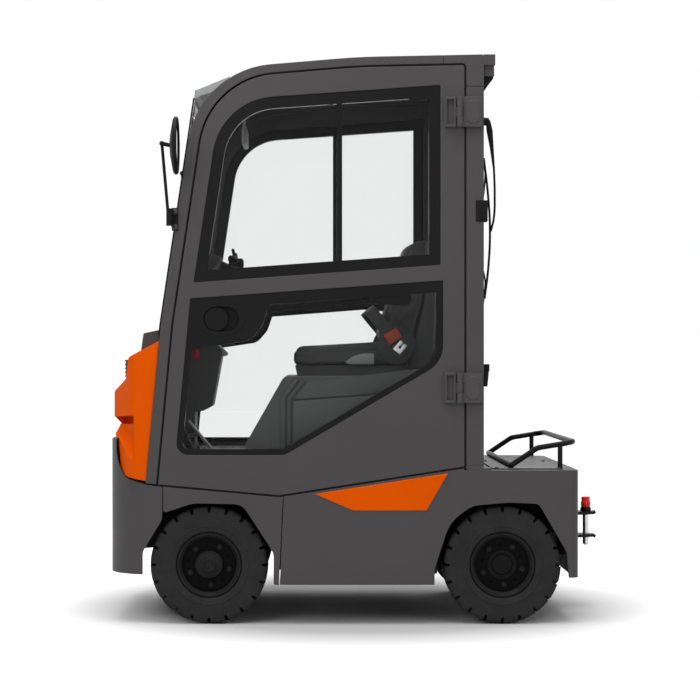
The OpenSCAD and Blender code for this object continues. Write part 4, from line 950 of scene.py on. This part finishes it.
wiper = {
    "foot": (-0.4743, 0.25, 1.977), "spindleSteps": 24,
    "spindle": ((0, 0), (0.016, 0), (0.016, 0.036), (0.0125, 0.0435), (0, 0.044)),
    "armSide": (0.241, 0.259), "armEdge": 0.002,
    "arm": ((-0.505, 1.987), (-0.522, 1.982), (-0.532, 1.94), (-0.54, 1.8), (-0.5335, 1.79), (-0.52, 1.88),
            (-0.508, 1.94)),
    "link": ((-0.537, 0.25, 1.8), (-0.542, 0.235, 1.69), (-0.541, 0.205, 1.59), (-0.531, 0.182, 1.541)),
    "bow": ((-0.503, 0.18, 1.838), (-0.52, 0.18, 1.69), (-0.528, 0.18, 1.545), (-0.521, 0.18, 1.39),
            (-0.506, 0.18, 1.268)),
    "linkRadius": 0.0045, "bowRadius": 0.0048, "clawRadius": 0.0035,
    "claws": ((1.846, 1.69), (1.4, 1.262)), "clawX": (-0.494, -0.508), "clawEnds": (0.004, 0.06),
    "clawShare": 0.4, "side": 0.18,
    "rubberLow": (-0.494, 0.175, 1.195), "rubberHigh": (-0.476, 0.185, 1.852), "rubberEdge": 0.002,
}


def makeWiper(look):
    parts = [turned(look["spindle"], look["foot"], rearwards, look["spindleSteps"]),
             outlinePlate(look["arm"], *look["armSide"], look["armEdge"]),
             bar(look["link"], look["linkRadius"]), bar(look["bow"], look["bowRadius"])]
    nearX, farX = look["clawX"]
    above, below = look["clawEnds"]
    for high, low in look["claws"]:
        reach = look["clawShare"] * (high - low)
        spots = ((nearX, high + above), (farX, high - reach), (farX, low + reach), (nearX, low - below))
        parts.append(bar([(x, look["side"], z) for x, z in spots], look["clawRadius"]))
    parts.append(slab(look["rubberLow"], look["rubberHigh"], look["rubberEdge"]))
    return parts


wiperPiece = finishPiece("wiper_arm", makeWiper(wiper))
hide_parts("rear_wiper")

# Door seals: a bead in the gap round each door, and one on the stop behind it

doorEdge = {
    "corners": ((0.787, 0.541, 0), (0.729, 1.155, 0.9), (0.5881, 2.1004, 0.31), (0.015, 2.148, 2.5),
                (-0.393, 2.1562, 0.008), (-0.393, 0.61, 0), (0.321, 0.499, 0.03)),
    "tightest": 0.002, "arcStep": math.radians(7),
    "beads": {"gap": dict(out=0.0055, side=0.5665, radius=0.0024),
              "stop": dict(out=-0.011, side=0.527, radius=0.004)},
}


# Corners (x, z, radius) of an anticlockwise outline, let out by a distance, then rounded
def roundedOutline(look, out):
    corners = look["corners"]
    count = len(corners)
    spots = [Vector(c[:2]) for c in corners]
    moved = []
    for i, spot in enumerate(spots):
        before = (spot - spots[i - 1]).normalized()
        after = (spots[(i + 1) % count] - spot).normalized()
        way = Vector((before.y + after.y, -before.x - after.x))
        moved.append(spot + way * out / (1 + before.dot(after)))
    points = []
    for i, spot in enumerate(moved):
        back = (moved[i - 1] - spot).normalized()
        ahead = (moved[(i + 1) % count] - spot).normalized()
        half = math.acos(max(-1.0, min(1.0, back.dot(ahead)))) / 2
        run = max(corners[i][2] + out, look["tightest"]) / math.tan(half)
        start, end = spot + back * run, spot + ahead * run
        steps = max(2, round((math.pi - 2 * half) / look["arcStep"]))
        for k in range(steps + 1):
            t = k / steps
            points.append(start * (1 - t) ** 2 + spot * 2 * t * (1 - t) + end * t * t)
    return points


for beadName, bead in doorEdge["beads"].items():
    line = [(p.x, bead["side"], p.y) for p in roundedOutline(doorEdge, bead["out"])]
    beadTube = bar(line, bead["radius"], 2, True)
    finishPiece("door_seals_" + beadName, pairOf(beadTube), "sealRubber", smooth=60)
print("wiper and door seals set")

# Seat housing: side panels with a crease, and corner posts

housing = {
    "lower": ((-0.42, 0.662), (0.268, 0.662), (0.268, 0.86), (-0.42, 0.91)),
    "upper": ((-0.42, 0.914), (0.266, 0.865), (0.208, 0.936), (-0.405, 1.006)),
    "posts": (((0.274, 0.662), (0.292, 0.662), (0.292, 0.868), (0.236, 0.942), (0.216, 0.94), (0.274, 0.866)),
              ((0.297, 0.662), (0.318, 0.662), (0.318, 0.872), (0.264, 0.946), (0.242, 0.944),
               (0.297, 0.87))),
    "inner": 0.4695, "crease": 0.482, "top": 0.474, "topAbove": 0.925, "edge": 0.0025, "edgeAngle": 20,
    "postOut": 0.479, "postEdge": 0.004,
}


def housingSide(look):
    lower = outlinePlate(look["lower"], look["inner"], look["crease"], look["edge"])
    upper = outlinePlate(look["upper"], look["inner"], look["crease"])
    for vert in upper.data.vertices:
        if vert.co.y > look["top"] and vert.co.z > look["topAbove"]:
            vert.co.y = look["top"]
    roundEdges(upper, look["edge"], 2, look["edgeAngle"])
    posts = [outlinePlate(p, look["inner"], look["postOut"], look["postEdge"], 3) for p in look["posts"]]
    return [lower, upper] + posts


leftSide = housingSide(housing)
rightSide = [mirrored(part) for part in leftSide]
finishPiece("seat_housing_sides", leftSide + rightSide, "cabLining")

# Pedal pads on short stems, pale grey: the paleness is a painted highlight for the light line along the
# pedals' front edges

pedalPad = {"plate": ((0.691, 0.777), (0.697, 0.771), (0.604, 0.657), (0.598, 0.663)), "halfWidth": 0.04,
            "edge": 0.0015, "at": ((0, 0.17, 0), (0.018, -0.17, -0.0135)),
            "stem": ((0.65, 0.722), (0.705, 0.708)), "stemRadius": 0.011}
pads = []
for shiftX, padY, shiftZ in pedalPad["at"]:
    padOutline = [(x + shiftX, z + shiftZ) for x, z in pedalPad["plate"]]
    stem = [(x + shiftX, padY, z + shiftZ) for x, z in pedalPad["stem"]]
    pads.append(outlinePlate(padOutline, padY - pedalPad["halfWidth"], padY + pedalPad["halfWidth"],
                             pedalPad["edge"]))
    pads.append(bar(stem, pedalPad["stemRadius"]))
finishPiece("pedal_pads_painted_highlight", pads, "leverPlastic")

# Hub caps on the front wheels: a boss with a rounded lip, and a ring on its shoulder

hubCap = {
    "boss": ((0, 0.0685), (0.0355, 0.069), (0.035, 0.0712), (0.029, 0.0716), (0.0275, 0.0765),
             (0.0255, 0.079), (0.0215, 0.0796), (0.019, 0.078), (0.0182, 0.0755), (0, 0.0752)),
    "ring": ((0.0475, 0.0655), (0.051, 0.063), (0.0525, 0.0645), (0.052, 0.067), (0.049, 0.0688),
             (0.0475, 0.068)),
    "steps": 40,
}
for side, sign in (("left", 1), ("right", -1)):
    hub = (body["frontAxle"], sign * body["wheelSide"], body["axleHeight"])
    capParts = [turned(hubCap[part], hub, (0, sign, 0), hubCap["steps"]) for part in ("boss", "ring")]
    finishPiece("hub_cap_" + side, capParts, "wheelPaint", "wheel_front_" + side, 50)
print("fittings set")

# Drain slots at both ends of each upper window's lower bar: thin black slabs, painted shade standing in for
# the openings

drains = {"rearLow": (-0.2446, 0.5722, 1.4043), "rearHigh": (-0.2169, 0.5738, 1.4093),
          "frontLow": (0.575, 0.5722, 1.3462), "frontHigh": (0.599, 0.5738, 1.3526), "edge": 0.0006}
drainSlotShades = [slab(drains[end + "Low"], drains[end + "High"], drains["edge"]) for end in ("front", "rear")]
doorPair("drain_slot_shades", drainSlotShades, "blackMetal")

# Covers on the rear ends of the doors' grab bars

grabEnd = {"bar": ((-0.036, 1.24), (-0.036, 1.266)), "round": (-0.165, 1.257), "radius": 0.028, "steps": 12,
           "arc": (80, 200), "side": (0.4895, 0.5412), "edge": 0.006}  # arc: start and run in degrees


def grabCover(look):
    outline = list(look["bar"])
    start, run = look["arc"]
    for i in range(look["steps"] + 1):
        turn = math.radians(start + run * i / look["steps"])
        outline.append((look["round"][0] + look["radius"] * math.cos(turn),
                        look["round"][1] + look["radius"] * math.sin(turn)))
    return outlinePlate(outline, *look["side"], look["edge"], 3)


doorPair("grab_cover", [grabCover(grabEnd)], "blackPlastic")

# Sill panels below the cab floor, seen with a door open

sill = {"outline": ((0.79, 0.53), (0.321, 0.49), (-0.395, 0.598), (-0.395, 0.6195), (0.79, 0.6195)),
        "side": (0.504, 0.5112), "edge": 0.0015}
finishPiece("sill_panels", pairOf(plateFrom(sill)), "bodyPaint")
print("doors and sills fitted")

# Camera at the photograph's place

cameraSetup = {"place": (0.2174, 8.2, 1.0318), "lens": 101.8, "shift": (0.0629, 0.01)}


def addCamera(setup):
    clearSelection()
    bpy.ops.object.camera_add(location=setup["place"], rotation=(math.pi / 2, 0, math.pi))
    camera = bpy.context.object
    camera.data.lens = setup["lens"]
    camera.data.sensor_width = 36
    camera.data.shift_x, camera.data.shift_y = setup["shift"]
    camera.data.clip_end = 60
    bpy.context.scene.camera = camera


addCamera(cameraSetup)

# Studio: pale floor with a painted shadow round the vehicle, white surround, soft lamps

studio = {
    # Floor glow near the vehicle and far out, and the radii it fades between: nil near, a painted shadow
    # round the vehicle
    "floorSize": 60, "floorColour": (0.55, 0.55, 0.55, 1), "floorGlow": (0.0, 0.77), "paintedShadowFade": (0.78, 1.5),
    "worldLight": 0.4,
    "lamps": {
        "topLamp": dict(place=(0.3, 1.0, 5.6), aim=(0.1, 0.1, 0.6), size=4.0, power=270),
        "keyLamp": dict(place=(3.2, 4.8, 3.4), aim=(0, 0, 0.9), size=3.0, power=85),
        "fillLamp": dict(place=(-4.0, 3.6, 2.6), aim=(0, 0, 1.0), size=3.0, power=30),
        "backLamp": dict(place=(-1.0, -4.5, 4.2), aim=(0, 0, 1.0), size=3.5, power=70),
    },
}


# 1 where the eye looks straight, through glass or in a reflection
def seenByEye(tree):
    path = tree.nodes.new("ShaderNodeLightPath")
    seen = mathNode(tree, "MAXIMUM", path.outputs["Is Camera Ray"], path.outputs["Is Transmission Ray"])
    return mathNode(tree, "MAXIMUM", seen, path.outputs["Is Glossy Ray"])


def addFloor(setup):
    clearSelection()
    bpy.ops.mesh.primitive_plane_add(size=setup["floorSize"])
    floor = bpy.context.object
    floor.name = "studioFloor"
    mat, tree, shader, coords = newMaterial("studioFloor")
    feed(shader, "Base Color", setup["floorColour"])
    feed(shader, "Roughness", 0.9)
    feed(shader, "Specular IOR Level", 0.1)
    away = tree.nodes.new("ShaderNodeVectorMath")
    away.operation = "LENGTH"
    feed(away, 0, coords)
    # Painted shadow: the glow the eye sees rises from nil near the vehicle to full far out, so the floor is
    # darker round the vehicle than the lamps' own shadow leaves it
    reach = rampBetween(tree, away.outputs["Value"], *setup["floorGlow"], *setup["paintedShadowFade"])
    glow = mathNode(tree, "MULTIPLY", seenByEye(tree), reach)
    feed(shader, "Emission Color", (1, 1, 1, 1))
    feed(shader, "Emission Strength", glow)
    floor.data.materials.append(mat)


def addWorld(setup):
    world = bpy.data.worlds.new("studioWorld")
    bpy.context.scene.world = world
    world.use_nodes = True
    tree = world.node_tree
    background = tree.nodes["Background"]
    feed(background, "Color", (1, 1, 1, 1))
    level = rampBetween(tree, seenByEye(tree), setup["worldLight"], 1.0, 0.0, 1.0)
    feed(background, "Strength", level)


def addLamp(name, look):
    clearSelection()
    bpy.ops.object.light_add(type="AREA", location=look["place"])
    lamp = bpy.context.object
    lamp.name = name
    lamp.data.size = look["size"]
    lamp.data.energy = look["power"]
    aim = Vector(look["aim"]) - Vector(look["place"])
    lamp.rotation_euler = aim.to_track_quat("-Z", "Y").to_euler()


addFloor(studio)
addWorld(studio)
for lampName, lampLook in studio["lamps"].items():
    addLamp(lampName, lampLook)
bpy.context.scene.view_settings.view_transform = "Standard"
print("studio set")
